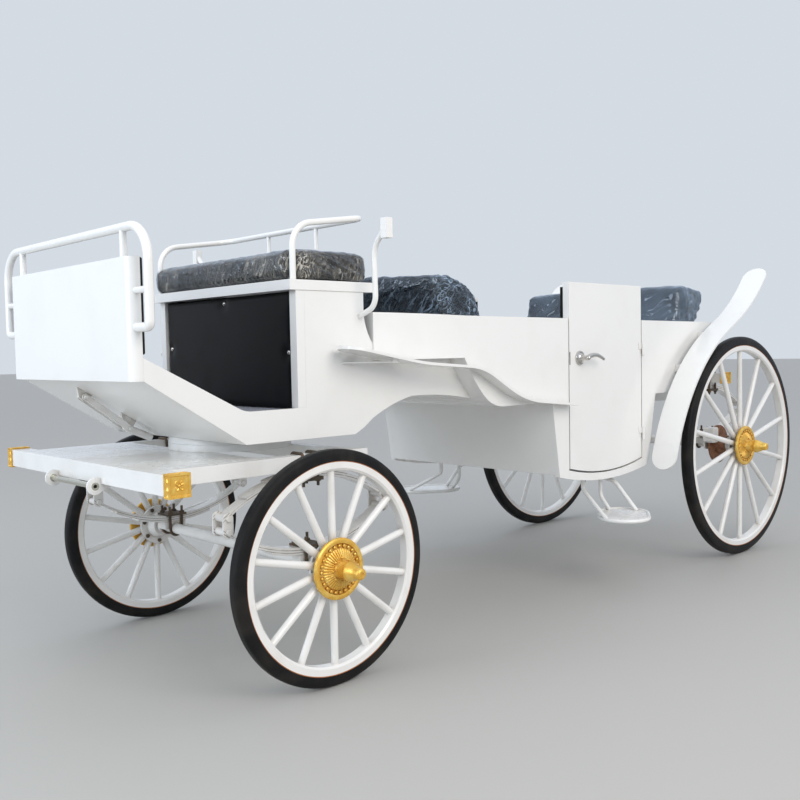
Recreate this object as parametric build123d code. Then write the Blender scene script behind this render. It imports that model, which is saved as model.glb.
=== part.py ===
from build123d import *
from math import asin, cos, degrees, radians, sin
import os

# An open carriage: a driver's box with a flat dash in front, and a tub behind it whose two seats face
# each other over a foot well. Tall spoked wheels carry it on full elliptic springs, and the front
# gear turns on a ring under the driver's box.
# Millimetres. +X is the carriage's left, +Y its back, +Z up, and the ground is at Z = 0.
# Every piece is drawn with the front axle at Y = 0, and moved by this much when it is written, so that
# the origin is on the ground below the middle of the whole vehicle.
TO_MIDDLE = -1289.5
WHEELBASE = 2644.0

# Wheels: outside radius, and the wheel's middle plane from the carriage's middle
FRONT_WHEEL_R = 381.5
REAR_WHEEL_R = 555.0
FRONT_WHEEL_X = 574.0
REAR_WHEEL_X = 634.0
TYRE_W = 48.0
FELLOE_W = 46.0
FELLOE_DEPTH = 30.0
SPOKES = 14
SPOKE_R_HUB = 13.5
SPOKE_R_RIM = 12.0
HUB_R = 52.0
HUB_IN = 60.0
HUB_OUT = 25.0
FLANGE_R = 78.0
CAP_R = 100.0
CAP_TIP = 146.0
SPINDLE_R = 16.0
RUNNING_GAP = 0.05
SIDE_PLAY = 5.0

# Driver's box
BOX_X = 440.0
PANEL_T = 20.0
BOX_IN = BOX_X - PANEL_T
DASH_Y = -602.0
DASH_T = 35.0
DASH_BACK = DASH_Y + DASH_T
DASH_LOW = 997.0
DASH_TOP = 1354.0
FLOOR_Z = 786.0
SHEET_T = 14.0
SILL_Z = 890.0
SEAT_Z = 1276.0
SEAT_FRONT = -45.0
SEAT_BACK = 315.0
SEAT_TUBE = 34.0
SEAT_POST_Y = SEAT_FRONT + 25
RAIL_R = 10.5
HOOP_R = 13.5
STUB_R = 8.0

# Tub, its doors and foot well
TUB_X = 520.0
WALL_T = 26.0
TUB_IN = TUB_X - WALL_T
TUB_NOSE = 310.0
NOSE_TOP = 1208.0
BOW_END = 700.0
BOW_R = 1070.0
TUB_TOP = 1198.0
SHELF_Z = 1040.0
BELLY_Z = 846.0
WELL_FRONT = 1232.0
WELL_BACK = 2030.0
WELL_Z = 548.0
DOOR_FRONT = 1352.0
DOOR_BACK = 1906.0
DOOR_TOP = 1348.0
DOOR_LOW = 556.0
DOOR_DIP = 523.0
DOOR_T = 34.0
DOOR_GAP = 7.0
BOARD_Z = 905.0
BOARD_T = 18.0
HINGE_R = 6.0
HINGE_X = TUB_X + 9.0
HINGE_Y = DOOR_BACK + DOOR_GAP / 2

# Front gear, and the turning ring between it and the driver's box
BAR_Z = 678.0
BAR_H = 60.0
BAR_Y = -575.0
BAR_BACK = BAR_Y + BAR_H
BAR_HALF = 555.0
DECK_TOP = BAR_Z + BAR_H
SPRING_X = 440.0
RAIL_W = 50.0
RING_R = 220.0
RING_IN = 176.0
RING_GAP = 0.3
KINGPIN_R = 20.0

# Springs, axles and the frame under the rear of the tub
LEAF_T = 8.0
LEAF_W = 50.0
LEAF_REACH = [1.0, 0.74, 0.46]
AXLE_R = 21.0
SEAT_PAD = 8.0
FRONT_SPRING_HALF = 320.0
REAR_SPRING_HALF = 340.0
FRONT_SPRING_TOP = BAR_Z + 10.0
REAR_SPRING_TOP = 865.0
BEAM_H = 50.0
BEAM_Y = 2645.0
BEAM_HALF = 530.0
BODY_RAIL_X = (360.0, 400.0)

os.makedirs("parts", exist_ok=True)


def save(name, *pieces):
    """Write one node: its solids, moved to the vehicle's own origin."""
    solids = [Pos(0, TO_MIDDLE, 0) * solid for piece in pieces for solid in piece.solids()]
    shape = solids[0] if len(solids) == 1 else Compound(children=solids)
    export_step(shape, f"parts/{name}.step")


def mirrored(piece):
    """The same piece on the carriage's other side."""
    return mirror(piece, about=Plane.YZ)


def block(x, y, z):
    """A box between the low and high value on each axis."""
    size = Box(x[1] - x[0], y[1] - y[0], z[1] - z[0])
    return Pos((x[0] + x[1]) / 2, (y[0] + y[1]) / 2, (z[0] + z[1]) / 2) * size


def outline(*steps):
    """A closed outline: a step is a corner, or ("arc", middle, end) for a round stretch."""
    here = steps[0]
    edges = []
    for step in steps[1:] + steps[:1]:
        if step[0] == "arc":
            edges.append(ThreePointArc(here, step[1], step[2]))
            here = step[2]
        elif step != here:
            edges.append(Line(here, step))
            here = step
    return make_face(Curve(edges))


def across(side_view, x_low, x_high):
    """An outline of (y, z) points, solid from x_low to x_high."""
    return extrude(Plane.YZ.offset(x_low) * side_view, amount=x_high - x_low)


def turned(*corners):
    """A solid of revolution about the X axis from (x, radius) corners."""
    return revolve(make_face(Polyline(*corners, close=True)), axis=Axis.X)


def bar_along(points, bends, section):
    """A bar of one section along straight runs joined by tangent bends of the given radii."""
    path = FilletPolyline(*points, radius=bends) if bends else Line(*points)
    return sweep(Plane(path @ 0, z_dir=path % 0) * section, path=path)


def x_cylinder(radius, x, y, z, length):
    """A round bar along X about a middle point."""
    return Pos(x, y, z) * Rot(0, 90, 0) * Cylinder(radius, length)


# Wheels. The axis is X, pointing outwards, and the middle plane is X = 0.
def wheel(seat):
    """A rolled felloe, tapered spokes seated in it and in the hub, and the hub's bolting flange inside."""
    inner = seat - FELLOE_DEPTH
    half = FELLOE_W / 2
    bevel = 7.0
    felloe = turned((-half, seat), (half, seat), (half, inner + bevel), (half - bevel, inner),
                    (bevel - half, inner), (-half, inner + bevel))
    flange_x = -SPOKE_R_HUB - 1
    flange_back = flange_x - 9
    hub = turned((-HUB_IN, 0), (-HUB_IN, HUB_R - 12), (flange_back - 10, HUB_R), (flange_back, HUB_R),
                 (flange_back, FLANGE_R), (flange_x, FLANGE_R), (flange_x, HUB_R), (HUB_OUT, HUB_R),
                 (HUB_OUT, 0))
    seating = 5.0
    foot = HUB_R - seating
    length = inner + seating - foot
    spoke = Pos(0, 0, foot + length / 2) * Cone(SPOKE_R_HUB, SPOKE_R_RIM, length)
    spokes = [Rot(360 / SPOKES * number, 0, 0) * spoke for number in range(SPOKES)]
    return (felloe + hub + spokes) - x_cylinder(SPINDLE_R + RUNNING_GAP, 0, 0, 0, 4 * HUB_IN)


def tyre(radius, seat):
    """A solid rubber band whose flanks lean in towards a flat tread."""
    half = TYRE_W / 2
    edge = half - 5
    return turned((half, seat), (edge, radius), (-edge, radius), (-half, seat))


def hub_cap():
    """A cast ornament: a broad rim, a dished face, a turned waist and a stepped nose."""
    face = HUB_OUT + 13
    return turned((HUB_OUT, 0), (HUB_OUT, CAP_R), (face - 5, CAP_R), (face, CAP_R - 5), (face, CAP_R - 20),
                  (face - 5, CAP_R - 26), (face + 4, 44), (face + 8, 34), (face + 40, 29), (face + 47, 33),
                  (face + 56, 32), (face + 78, 22), (face + 88, 20), (CAP_TIP - 6, 18), (CAP_TIP, 12),
                  (CAP_TIP, 0))


DISC_R = 98.0
DISC_T = 10.0
DISC_X = REAR_WHEEL_X - HUB_IN - 62.0


def brake_disc():
    """A brake disc on the bell that bolts it to the hub's inner face."""
    bell = REAR_WHEEL_X - HUB_IN - DISC_X
    bore = AXLE_R + 14
    return turned((0, bore), (0, DISC_R), (DISC_T, DISC_R), (DISC_T, bore + 16), (bell, bore + 10),
                  (bell, bore))


WHEELS = [
    # name, radius, the tyre's depth, middle plane, axle's place along the vehicle
    ("front", FRONT_WHEEL_R, 38.0, FRONT_WHEEL_X, 0.0),
    ("rear", REAR_WHEEL_R, 44.0, REAR_WHEEL_X, WHEELBASE),
]
for name, radius, tyre_depth, x, y in WHEELS:
    seat = radius - tyre_depth
    pieces = [("wheel", wheel(seat)), ("tyre", tyre(radius, seat)), ("hub_cap", hub_cap())]
    for piece_name, piece in pieces:
        placed = Pos(x, y, radius) * piece
        save(f"{piece_name}_{name}_left", placed)
        save(f"{piece_name}_{name}_right", mirrored(placed))
disc = Pos(DISC_X, WHEELBASE, REAR_WHEEL_R) * brake_disc()
save("brake_disc_left", disc)
save("brake_disc_right", mirrored(disc))


# Springs and axles
def leaf_pack(seat_z, eye_z, half):
    """Leaves about one centre, stepping down in reach: the last rests on seat_z, the first ends at eye_z."""
    up = 1 if eye_z > seat_z else -1
    pack_t = (len(LEAF_REACH) - 0.5) * LEAF_T
    rise = abs(eye_z - seat_z) - pack_t
    main_r = (half**2 + rise**2) / (2 * rise)
    half_angle = degrees(asin(half / main_r))
    leaves = []
    for number, reach in enumerate(LEAF_REACH):
        swing = half_angle * reach
        middle = main_r + number * LEAF_T
        inner = CenterArc((0, 0), middle - LEAF_T / 2, -90 - swing, 2 * swing)
        outer = CenterArc((0, 0), middle + LEAF_T / 2, -90 - swing, 2 * swing)
        ends = [Line(inner @ at, outer @ at) for at in (0, 1)]
        leaves.append(make_face(Curve([inner, outer, *ends])))
    pack = across(leaves[0] + leaves[1:], -LEAF_W / 2, LEAF_W / 2)
    if up < 0:
        pack = mirror(pack, about=Plane.XY)
    return Pos(0, 0, seat_z + up * (main_r + pack_t)) * pack


def elliptic_spring(low_z, high_z, half, x, y):
    """Two leaf packs, back to back, hung together at each end by a pair of shackle plates."""
    eye_r = 13.0
    eye_gap = 21.0
    shackle_t = 7.0
    middle = (low_z + high_z) / 2
    spring = leaf_pack(low_z, middle - eye_gap, half) + leaf_pack(high_z, middle + eye_gap, half)
    for end in (-half, half):
        for z in (middle - eye_gap, middle + eye_gap):
            spring += x_cylinder(eye_r, 0, end, z, LEAF_W)
        plate = Pos(end, middle) * SlotOverall(2 * (eye_gap + 18), 36, rotation=90)
        for low in (-LEAF_W / 2 - shackle_t, LEAF_W / 2):
            spring += across(plate, low, low + shackle_t)
    return Pos(x, y, 0) * spring


def axle(wheel_x, y, z, spring_z, seat_half):
    """A round axle with shoulder collars, spindles, and a seat under each spring."""
    shoulder = wheel_x - HUB_IN - SIDE_PLAY
    collar = 16.0
    spindle_end = wheel_x + HUB_OUT - SIDE_PLAY
    shape = x_cylinder(SPINDLE_R, 0, 0, 0, 2 * spindle_end) + x_cylinder(AXLE_R, 0, 0, 0, 2 * shoulder)
    for side in (-1, 1):
        shape += x_cylinder(AXLE_R + 8, side * (shoulder - collar / 2), 0, 0, collar)
        seat = block((-LEAF_W / 2, LEAF_W / 2), (-seat_half, seat_half), (0, spring_z - z))
        shape += Pos(side * SPRING_X, 0, 0) * seat
    return Pos(0, y, z) * shape


seat_half = 45.0
front_seat_z = FRONT_WHEEL_R + AXLE_R + SEAT_PAD
rear_seat_z = REAR_WHEEL_R + AXLE_R + SEAT_PAD
spring = elliptic_spring(front_seat_z, FRONT_SPRING_TOP, FRONT_SPRING_HALF, SPRING_X, 0)
save("front_springs", spring, mirrored(spring))
spring = elliptic_spring(rear_seat_z, REAR_SPRING_TOP, REAR_SPRING_HALF, SPRING_X, WHEELBASE)
save("rear_springs", spring, mirrored(spring))
save("front_axle", axle(FRONT_WHEEL_X, 0, FRONT_WHEEL_R, front_seat_z, seat_half))

caliper_gap = 5.0
bracket_t = 8.0
bracket_x = DISC_X - caliper_gap - 22.0
bracket = outline((-90.0, -20.0), (0.0, -32.0), (30.0, 0.0), (0.0, 32.0), (-56.0, 88.0), (-106.0, 60.0))
rear_axle = axle(REAR_WHEEL_X, WHEELBASE, REAR_WHEEL_R, rear_seat_z, seat_half)
for low in (bracket_x, -bracket_x - bracket_t):
    rear_axle += Pos(0, WHEELBASE, REAR_WHEEL_R) * across(bracket, low, low + bracket_t)
save("rear_axle", rear_axle)
caliper = block((bracket_x + bracket_t, DISC_X + DISC_T + 24), (-112.0, -54.0), (14.0, 92.0))
caliper = chamfer(caliper.edges().filter_by(Axis.X), 9.0)
slot = x_cylinder(DISC_R + caliper_gap, DISC_X + DISC_T / 2, 0, 0, DISC_T + 2 * caliper_gap)
caliper = Pos(0, WHEELBASE, REAR_WHEEL_R) * (caliper - slot)
save("brake_calipers", caliper, mirrored(caliper))

# Front gear: the deck of square tube, its plates, its cast end caps and the pole fitting
rail_in = SPRING_X - RAIL_W / 2
rail_out = SPRING_X + RAIL_W / 2
deck_end = 255.0
cross_bar_w = 44.0
CROSS_BARS = [-212.0, 168.0]
deck = block((-BAR_HALF, BAR_HALF), (BAR_Y, BAR_BACK), (BAR_Z, DECK_TOP))
for low in (rail_in, -rail_out):
    deck += block((low, low + RAIL_W), (BAR_BACK, deck_end), (FRONT_SPRING_TOP, DECK_TOP))
for y in CROSS_BARS:
    deck += block((-rail_in, rail_in), (y, y + cross_bar_w), (FRONT_SPRING_TOP, DECK_TOP))
save("deck_frame", deck)
plate_t = 5.0
seam = 1.5
plates = [block(xs, (BAR_BACK, CROSS_BARS[0]), (DECK_TOP - plate_t, DECK_TOP))
          for xs in ((-rail_in, -seam), (seam, rail_in))]
save("deck_plates", *plates)


def end_cap(x, y, z):
    """A square cast cap over the end of a tube, with a raised border round a four-petalled boss."""
    lip = 5.0
    depth = 30.0
    border = 8.0
    cap = block((x, x + depth), (y[0] - lip, y[1] + lip), (z[0] - lip, z[1] + lip))
    cap = chamfer(cap.edges().filter_by(Axis.X), 4.0)
    cap -= block((x + depth - 3, x + depth), (y[0] - lip + border, y[1] + lip - border),
                 (z[0] - lip + border, z[1] + lip - border))
    petal_r = 8.0
    for number in range(4):
        angle = radians(45 + 90 * number)
        middle = (sum(y) / 2 + petal_r * cos(angle), sum(z) / 2 + petal_r * sin(angle))
        cap += x_cylinder(petal_r, x + depth - 3, *middle, 6)
    return cap


cap = end_cap(BAR_HALF, (BAR_Y, BAR_BACK), (BAR_Z, DECK_TOP))
save("deck_caps", cap, mirrored(cap))

pipe_r = 9.0
pipe_bore = 6.0
pipe_y = BAR_Y - 18
pipe_z = BAR_Z - 6
lug_r = 27.0
lug_t = 8.0
LUG_X = [-155.0, 155.0]
pole_bracket = x_cylinder(pipe_r, 0, pipe_y, pipe_z, LUG_X[1] - LUG_X[0])
foot_y = BAR_Y + 46
for x in LUG_X:
    web = outline((pipe_y, pipe_z - lug_r), (foot_y, BAR_Z - 6), (foot_y, BAR_Z), (BAR_Y, BAR_Z),
                  (BAR_Y, BAR_Z + 18), (pipe_y, BAR_Z + 18))
    pole_bracket += across(web, x - lug_t / 2, x + lug_t / 2) + x_cylinder(lug_r, x, pipe_y, pipe_z, lug_t)
pole_bracket -= x_cylinder(pipe_bore, 0, pipe_y, pipe_z, 3 * LUG_X[1])
pole_bracket -= block((-BAR_HALF, BAR_HALF), (BAR_Y, BAR_BACK), (BAR_Z, DECK_TOP))
save("pole_bracket", pole_bracket)

# Turning ring: the lower half on the deck, the upper half and the kingpin under the driver's floor
ring_split = (DECK_TOP + FLOOR_Z) / 2
cross_t = 10.0
cross_w = 90.0


def ring(z_low, z_high, cross_z):
    """A flat ring with a bar across it for the kingpin."""
    height = z_high - z_low
    band = Cylinder(RING_R, height) - Cylinder(RING_IN, height)
    bar = block((-cross_w / 2, cross_w / 2), (-RING_IN - 8, RING_IN + 8), (cross_z, cross_z + cross_t))
    return Pos(0, 0, z_low + height / 2) * band + bar


kingpin_bore = Pos(0, 0, DECK_TOP) * Cylinder(KINGPIN_R + RUNNING_GAP, 4 * cross_t)
save("turntable_lower", ring(DECK_TOP, ring_split, DECK_TOP) - kingpin_bore)
kingpin = Pos(0, 0, ring_split) * Cylinder(KINGPIN_R, FLOOR_Z - DECK_TOP)
save("turntable_upper", ring(ring_split + RING_GAP, FLOOR_Z, FLOOR_Z - cross_t) + kingpin)

# The tub's side outline, and the plan of its walls: straight sides that bow inwards to a flat nose
tub_side = outline(
    (TUB_NOSE, NOSE_TOP), (TUB_NOSE, SHELF_Z), (700.0, SHELF_Z), ("arc", (745.0, 965.0), (800.0, 900.0)),
    ("arc", (855.0, 860.0), (930.0, BELLY_Z)), (WELL_FRONT, BELLY_Z), (1278.0, 526.0),
    ("arc", (1629.0, 484.0), (1962.0, 518.0)), (WELL_BACK, BELLY_Z), (2240.0, BELLY_Z),
    ("arc", (2420.0, 990.0), (2565.0, 1187.0)), (BOW_END, TUB_TOP))


def tub_plan(half):
    """The plan of the tub out to a half width: a long rectangle whose front corners bow inwards."""
    bow_r = BOW_R - (TUB_X - half)
    reach = BOW_END - TUB_NOSE
    tail = 2600.0
    nose_x = half - bow_r + (bow_r**2 - reach**2) ** 0.5
    middle_x = half - bow_r + (bow_r**2 - reach**2 / 4) ** 0.5
    middle_y = BOW_END - reach / 2
    return outline((half, tail), (half, BOW_END), ("arc", (middle_x, middle_y), (nose_x, TUB_NOSE)),
                   (-nose_x, TUB_NOSE), ("arc", (-middle_x, middle_y), (-half, BOW_END)), (-half, tail))


def standing(plan):
    """A plan outline, solid over more than the tub's height."""
    return extrude(Pos(0, 0, 400.0) * plan, amount=1000.0)


def door_face(gap):
    """The door's outline with a gap all round: straight edges, and a bottom that dips with the tub's."""
    front = DOOR_FRONT - gap
    back = DOOR_BACK + gap
    low = DOOR_LOW - gap
    dip = ((front + back) / 2, DOOR_DIP - gap)
    return outline((front, DOOR_TOP), (front, low), ("arc", dip, (back, low)), (back, DOOR_TOP))


inside = standing(tub_plan(TUB_IN))
solid_tub = across(tub_side, -TUB_X, TUB_X) & standing(tub_plan(TUB_X))
door_edge_x = TUB_X - DOOR_T - DOOR_GAP + 1
doorway = across(door_face(DOOR_GAP), door_edge_x, TUB_X + 50)
left_wall = ((solid_tub - inside) & block((0, 600), (0, 2700), (400, 1300))) - doorway
front_quarter = left_wall & block((0, 600), (0, DOOR_FRONT - DOOR_GAP), (400, 1300))
save("front_quarters", front_quarter, mirrored(front_quarter))

# Hinges: knuckles that meet half way up, the lower with its pin on the body, the upper on the door
HINGES = [667.0, 1057.0]
knuckle = 27.0
pin_r = 3.0
leaf_t = 3.0
leaf_w = 26.0
ABOVE = (Align.CENTER, Align.CENTER, Align.MIN)
BELOW = (Align.CENTER, Align.CENTER, Align.MAX)
rear_quarter = left_wall & block((0, 600), (DOOR_BACK + DOOR_GAP, 2700), (400, 1300))
door = across(door_face(0), TUB_X - DOOR_T, TUB_X)
for z in HINGES:
    barrel = Pos(HINGE_X, HINGE_Y, z) * Cylinder(HINGE_R, knuckle, align=BELOW)
    pin = Pos(HINGE_X, HINGE_Y, z) * Cylinder(pin_r, knuckle, align=ABOVE)
    leaf = block((TUB_X, TUB_X + leaf_t), (DOOR_BACK + DOOR_GAP, HINGE_Y + leaf_w), (z - knuckle, z))
    arm = block((TUB_X, HINGE_X), (DOOR_BACK + DOOR_GAP, HINGE_Y + HINGE_R - 1), (z - knuckle, z))
    rear_quarter += barrel + leaf + arm + pin
    low = z + RING_GAP
    barrel = Pos(HINGE_X, HINGE_Y, low) * Cylinder(HINGE_R, knuckle, align=ABOVE)
    leaf = block((TUB_X, TUB_X + leaf_t), (HINGE_Y - leaf_w, DOOR_BACK), (low, low + knuckle))
    arm = block((TUB_X, HINGE_X), (HINGE_Y - HINGE_R + 1, DOOR_BACK), (low, low + knuckle))
    bore = Pos(HINGE_X, HINGE_Y, z) * Cylinder(pin_r + RUNNING_GAP, 4 * knuckle)
    door += (barrel + leaf + arm) - bore
save("rear_quarters", rear_quarter, mirrored(rear_quarter))
save("door_left", door)
save("door_right", mirrored(door))

# Door handles: a round plate, a neck and a bent lever
lever_y = DOOR_FRONT + 72.0
lever_z = 1026.0
lever_x = TUB_X + 46.0
handle = x_cylinder(26.0, TUB_X + 4, lever_y, lever_z, 8)
handle += x_cylinder(9.0, TUB_X + 24, lever_y, lever_z, 44)
handle += bar_along([(lever_x, lever_y - 9, lever_z), (lever_x, lever_y + 60, lever_z + 8),
                     (lever_x, lever_y + 112, lever_z - 6)], [60.0], Rectangle(9, 17))
save("door_handle_left", handle)
save("door_handle_right", mirrored(handle))

# Tub sheets between the side walls: nose, belly, foot well and back
front_wall = block((-TUB_X, TUB_X), (TUB_NOSE, TUB_NOSE + SHEET_T), (SHELF_Z + SHEET_T, NOSE_TOP)) & inside
save("front_wall", front_wall)
belly = outline(
    (TUB_NOSE, SHELF_Z), (700.0, SHELF_Z), ("arc", (745.0, 965.0), (800.0, 900.0)),
    ("arc", (855.0, 860.0), (930.0, BELLY_Z)), (WELL_FRONT, BELLY_Z), (WELL_FRONT, BELLY_Z + SHEET_T),
    (934.0, BELLY_Z + SHEET_T), ("arc", (863.0, 873.0), (811.0, 910.0)),
    ("arc", (757.0, 974.0), (709.0, SHELF_Z + SHEET_T)), (TUB_NOSE, SHELF_Z + SHEET_T))
save("belly", across(belly, -TUB_IN, TUB_IN) & inside)
well_low = WELL_Z - SHEET_T
well = across(outline(
    (WELL_FRONT, BELLY_Z), (1276.85, well_low), (1965.3, well_low), (WELL_BACK, BELLY_Z),
    (WELL_BACK - SHEET_T, BELLY_Z), (1954.0, WELL_Z), (1289.0, WELL_Z), (WELL_FRONT + SHEET_T, BELLY_Z)),
    -TUB_IN, TUB_IN)
flange_t = 14.0
door_zone = block((0, 600), (DOOR_FRONT - DOOR_GAP, DOOR_BACK + DOOR_GAP), (400, 700))
sill = across(tub_side, door_edge_x, TUB_X) & door_zone
flange_zone = door_zone & block((0, 600), (0, 2700), (400, well_low))
flange = across(tub_side, door_edge_x - flange_t, door_edge_x) & flange_zone
left_edge = sill + flange
save("foot_well", (well + left_edge + mirrored(left_edge)) - doorway - mirrored(doorway))
back_panel = across(outline(
    (WELL_BACK, BELLY_Z), (2240.0, BELLY_Z), ("arc", (2420.0, 990.0), (2565.0, 1187.0)), (2548.0, 1187.1),
    ("arc", (2407.0, 1000.0), (2235.0, BELLY_Z + SHEET_T)), (WELL_BACK, BELLY_Z + SHEET_T)), -TUB_IN, TUB_IN)
save("back_panel", back_panel)

# Driver's box: flat sides that run back under the tub as swan necks, the sheet below them, and the floor
sill_end = 830.0
side_panel = across(outline(
    (DASH_BACK, DASH_LOW), (-224.0, FLOOR_Z), (222.0, FLOOR_Z), ("arc", (262.0, 806.0), (300.0, 833.0)),
    ("arc", (392.0, 876.0), (500.0, 906.0)), ("arc", (640.0, 903.0), (sill_end, 878.0)), (sill_end, 1100.0),
    (TUB_NOSE, 1100.0), ("arc", (283.0, 1152.0), (272.0, 1215.0)), (272.0, SEAT_Z),
    (SEAT_POST_Y + SEAT_TUBE, SEAT_Z), (SEAT_POST_Y + SEAT_TUBE, SILL_Z), (-200.0, SILL_Z),
    ("arc", (-227.0, 893.0), (-252.0, 903.0)), (DASH_BACK, 1065.0)), BOX_IN, BOX_X)
side_panel -= across(tub_side, -TUB_X, TUB_X)
save("driver_box_sides", side_panel, mirrored(side_panel))
footboard = across(outline(
    (DASH_BACK, DASH_LOW), (-224.0, FLOOR_Z), (222.0, FLOOR_Z), ("arc", (262.0, 806.0), (300.0, 833.0)),
    ("arc", (392.0, 876.0), (500.0, 906.0)), ("arc", (640.0, 903.0), (sill_end, 878.0)), (sill_end, 892.0),
    ("arc", (641.0, 917.0), (497.0, 920.0)), ("arc", (386.0, 889.0), (292.0, 845.0)),
    ("arc", (255.0, 818.0), (218.0, FLOOR_Z + SHEET_T)), (-220.0, FLOOR_Z + SHEET_T),
    (DASH_BACK, DASH_LOW + 17)), -BOX_IN, BOX_IN)
save("footboard", footboard - across(tub_side, -TUB_X, TUB_X))
driver_floor = across(outline(
    (DASH_BACK, 1046.0), (-246.0, 872.0), (SEAT_POST_Y + 20, 872.0), (SEAT_POST_Y + 20, 884.0),
    (-243.0, 884.0), (DASH_BACK, 1060.0)), -BOX_IN, BOX_IN)
save("driver_floor", driver_floor)
dash = block((-BOX_X, BOX_X), (DASH_Y, DASH_BACK), (DASH_LOW, DASH_TOP))
dash = fillet(dash.edges().filter_by(Axis.Z).group_by(Axis.Y)[0], 28.0)
save("dash", dash)

# Driver's seat: a tube frame on two front uprights, a board in it, the panel below and the cushion
seat_top = SEAT_Z + SEAT_TUBE
seat_in = BOX_X - SEAT_TUBE
frame_x = BOX_X + 3
seat_frame = block((-frame_x, frame_x), (SEAT_FRONT, SEAT_BACK), (SEAT_Z, seat_top))
seat_frame -= block((-seat_in, seat_in), (SEAT_FRONT + SEAT_TUBE, SEAT_BACK - SEAT_TUBE),
                    (SEAT_Z, seat_top - SHEET_T))
for low in (-BOX_X, seat_in):
    seat_frame += block((low, low + SEAT_TUBE), (SEAT_POST_Y, SEAT_POST_Y + SEAT_TUBE), (SILL_Z, SEAT_Z))
save("seat_frame", seat_frame)
seat_panel_y = (SEAT_POST_Y + 6, SEAT_POST_Y + 20)
save("seat_front_panel", block((-seat_in, seat_in), seat_panel_y, (884.0, SEAT_Z)))
cushion_gap = 0.5
cushion = block((-424.0, 424.0), (SEAT_FRONT + 6, 291.0), (seat_top + cushion_gap, 1410.0))
cushion = fillet(cushion.edges().filter_by(Axis.Z), 50.0)
save("driver_cushion", fillet(cushion.edges().group_by(Axis.Z)[-1], 26.0))

# Round rails: the guard round the seat, the hoop over the dash, and the lamp brackets
guard_x = BOX_X - RAIL_R
guard_y = SEAT_FRONT + 24
guard_back = 300.0
guard_low = 1489.0
guard_high = 1536.0
GUARD_POSTS = [-150.0, 150.0]
guard = bar_along([(guard_x, guard_y, seat_top), (guard_x, guard_y, guard_low),
                   (guard_x, guard_back, guard_high), (-guard_x, guard_back, guard_high),
                   (-guard_x, guard_y, guard_low), (-guard_x, guard_y, seat_top)],
                  [85.0, 60.0, 60.0, 85.0], Circle(RAIL_R))
for x in GUARD_POSTS:
    guard += bar_along([(x, guard_back, seat_top), (x, guard_back, guard_high)], None, Circle(STUB_R))
save("seat_guard_rail", guard)

hoop_x = 512.0
hoop_y = DASH_Y + 22.0
hoop_low = 1152.0
hoop_top = 1441.0
hoop_elbow = HOOP_R + 2
hoop_foot = BOX_X - 20.0
stub_z = 1257.0
HOOP_POSTS = [-370.0, 370.0]
hoop = bar_along([(hoop_foot, hoop_y, hoop_low), (hoop_x, hoop_y, hoop_low), (hoop_x, hoop_y, hoop_top),
                  (-hoop_x, hoop_y, hoop_top), (-hoop_x, hoop_y, hoop_low), (-hoop_foot, hoop_y, hoop_low)],
                 [hoop_elbow, 100.0, 100.0, hoop_elbow], Circle(HOOP_R))
for side in (-1, 1):
    hoop += x_cylinder(STUB_R + 2, side * (hoop_foot + hoop_x) / 2, hoop_y, stub_z, hoop_x - hoop_foot)
for x in HOOP_POSTS:
    hoop += bar_along([(x, hoop_y, DASH_TOP), (x, hoop_y, hoop_top)], None, Circle(STUB_R + 3))
save("dash_rail", hoop - dash)

lamp_x = 594.0
lamp_y = 246.0
lamp_z = 1479.0
lamp_half = 14.5
lamp_h = 67.0
lamp_bore = 7.0
bracket_r = 9.5
bend_x = 529.0
bracket_foot = (BOX_X - 20, lamp_y + 8, 1186.0)
lamp_bracket = bar_along([bracket_foot, (bend_x, lamp_y + 4, 1224.0), (bend_x, lamp_y, 1418.0),
                          (lamp_x, lamp_y, 1490.0)], [52.0, 90.0], Circle(bracket_r))
lamp_bracket += block((lamp_x - lamp_half, lamp_x + lamp_half), (lamp_y - lamp_half, lamp_y + lamp_half),
                      (lamp_z - lamp_h / 2, lamp_z + lamp_h / 2))
lamp_bracket -= block((0, BOX_X), (0, 500), (1100, 1300))
lamp_bracket -= Pos(lamp_x, lamp_y, lamp_z + lamp_h / 2) * Cylinder(lamp_bore, 110.0)
save("lamp_brackets", lamp_bracket, mirrored(lamp_bracket))

# Passenger seats: a board on a riser, a cushion on it, and a back pad
board_end = 18.0
front_bench = across(outline(
    (WELL_FRONT, BELLY_Z), (WELL_FRONT, BOARD_Z), (828.0, BOARD_Z), (828.0, BOARD_Z + BOARD_T),
    (WELL_FRONT + board_end, BOARD_Z + BOARD_T), (WELL_FRONT + board_end, BOARD_Z),
    (WELL_FRONT + SHEET_T, BOARD_Z), (WELL_FRONT + SHEET_T, BELLY_Z)), -TUB_IN, TUB_IN)
rear_bench = across(outline(
    (WELL_BACK, BELLY_Z), (WELL_BACK, BOARD_Z), (2290.0, BOARD_Z), (2290.0, BOARD_Z + BOARD_T),
    (WELL_BACK - board_end, BOARD_Z + BOARD_T), (WELL_BACK - board_end, BOARD_Z),
    (WELL_BACK - SHEET_T, BOARD_Z), (WELL_BACK - SHEET_T, BELLY_Z)), -TUB_IN, TUB_IN)
save("benches", front_bench, rear_bench)
cushion_x = 480.0
cushion_low = BOARD_Z + BOARD_T + cushion_gap
cushion_top = 1013.0
CUSHIONS = [
    # name, front and back
    ("front_seat_cushion", 832.0, 1246.0),
    ("rear_seat_cushion", 2016.0, 2282.0),
]
for name, y_low, y_high in CUSHIONS:
    cushion = block((-cushion_x, cushion_x), (y_low, y_high), (cushion_low, cushion_top))
    save(name, fillet(cushion.edges(), 20.0))
back_x = 472.0
pad_round = 38.0
curve_y = 1370.0
pad_out = 870.0
pad_in = 714.0
front_back = Pos(0, curve_y, 1207.0) * (Cylinder(pad_out, 304.0) - Cylinder(pad_in, 304.0))
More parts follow.
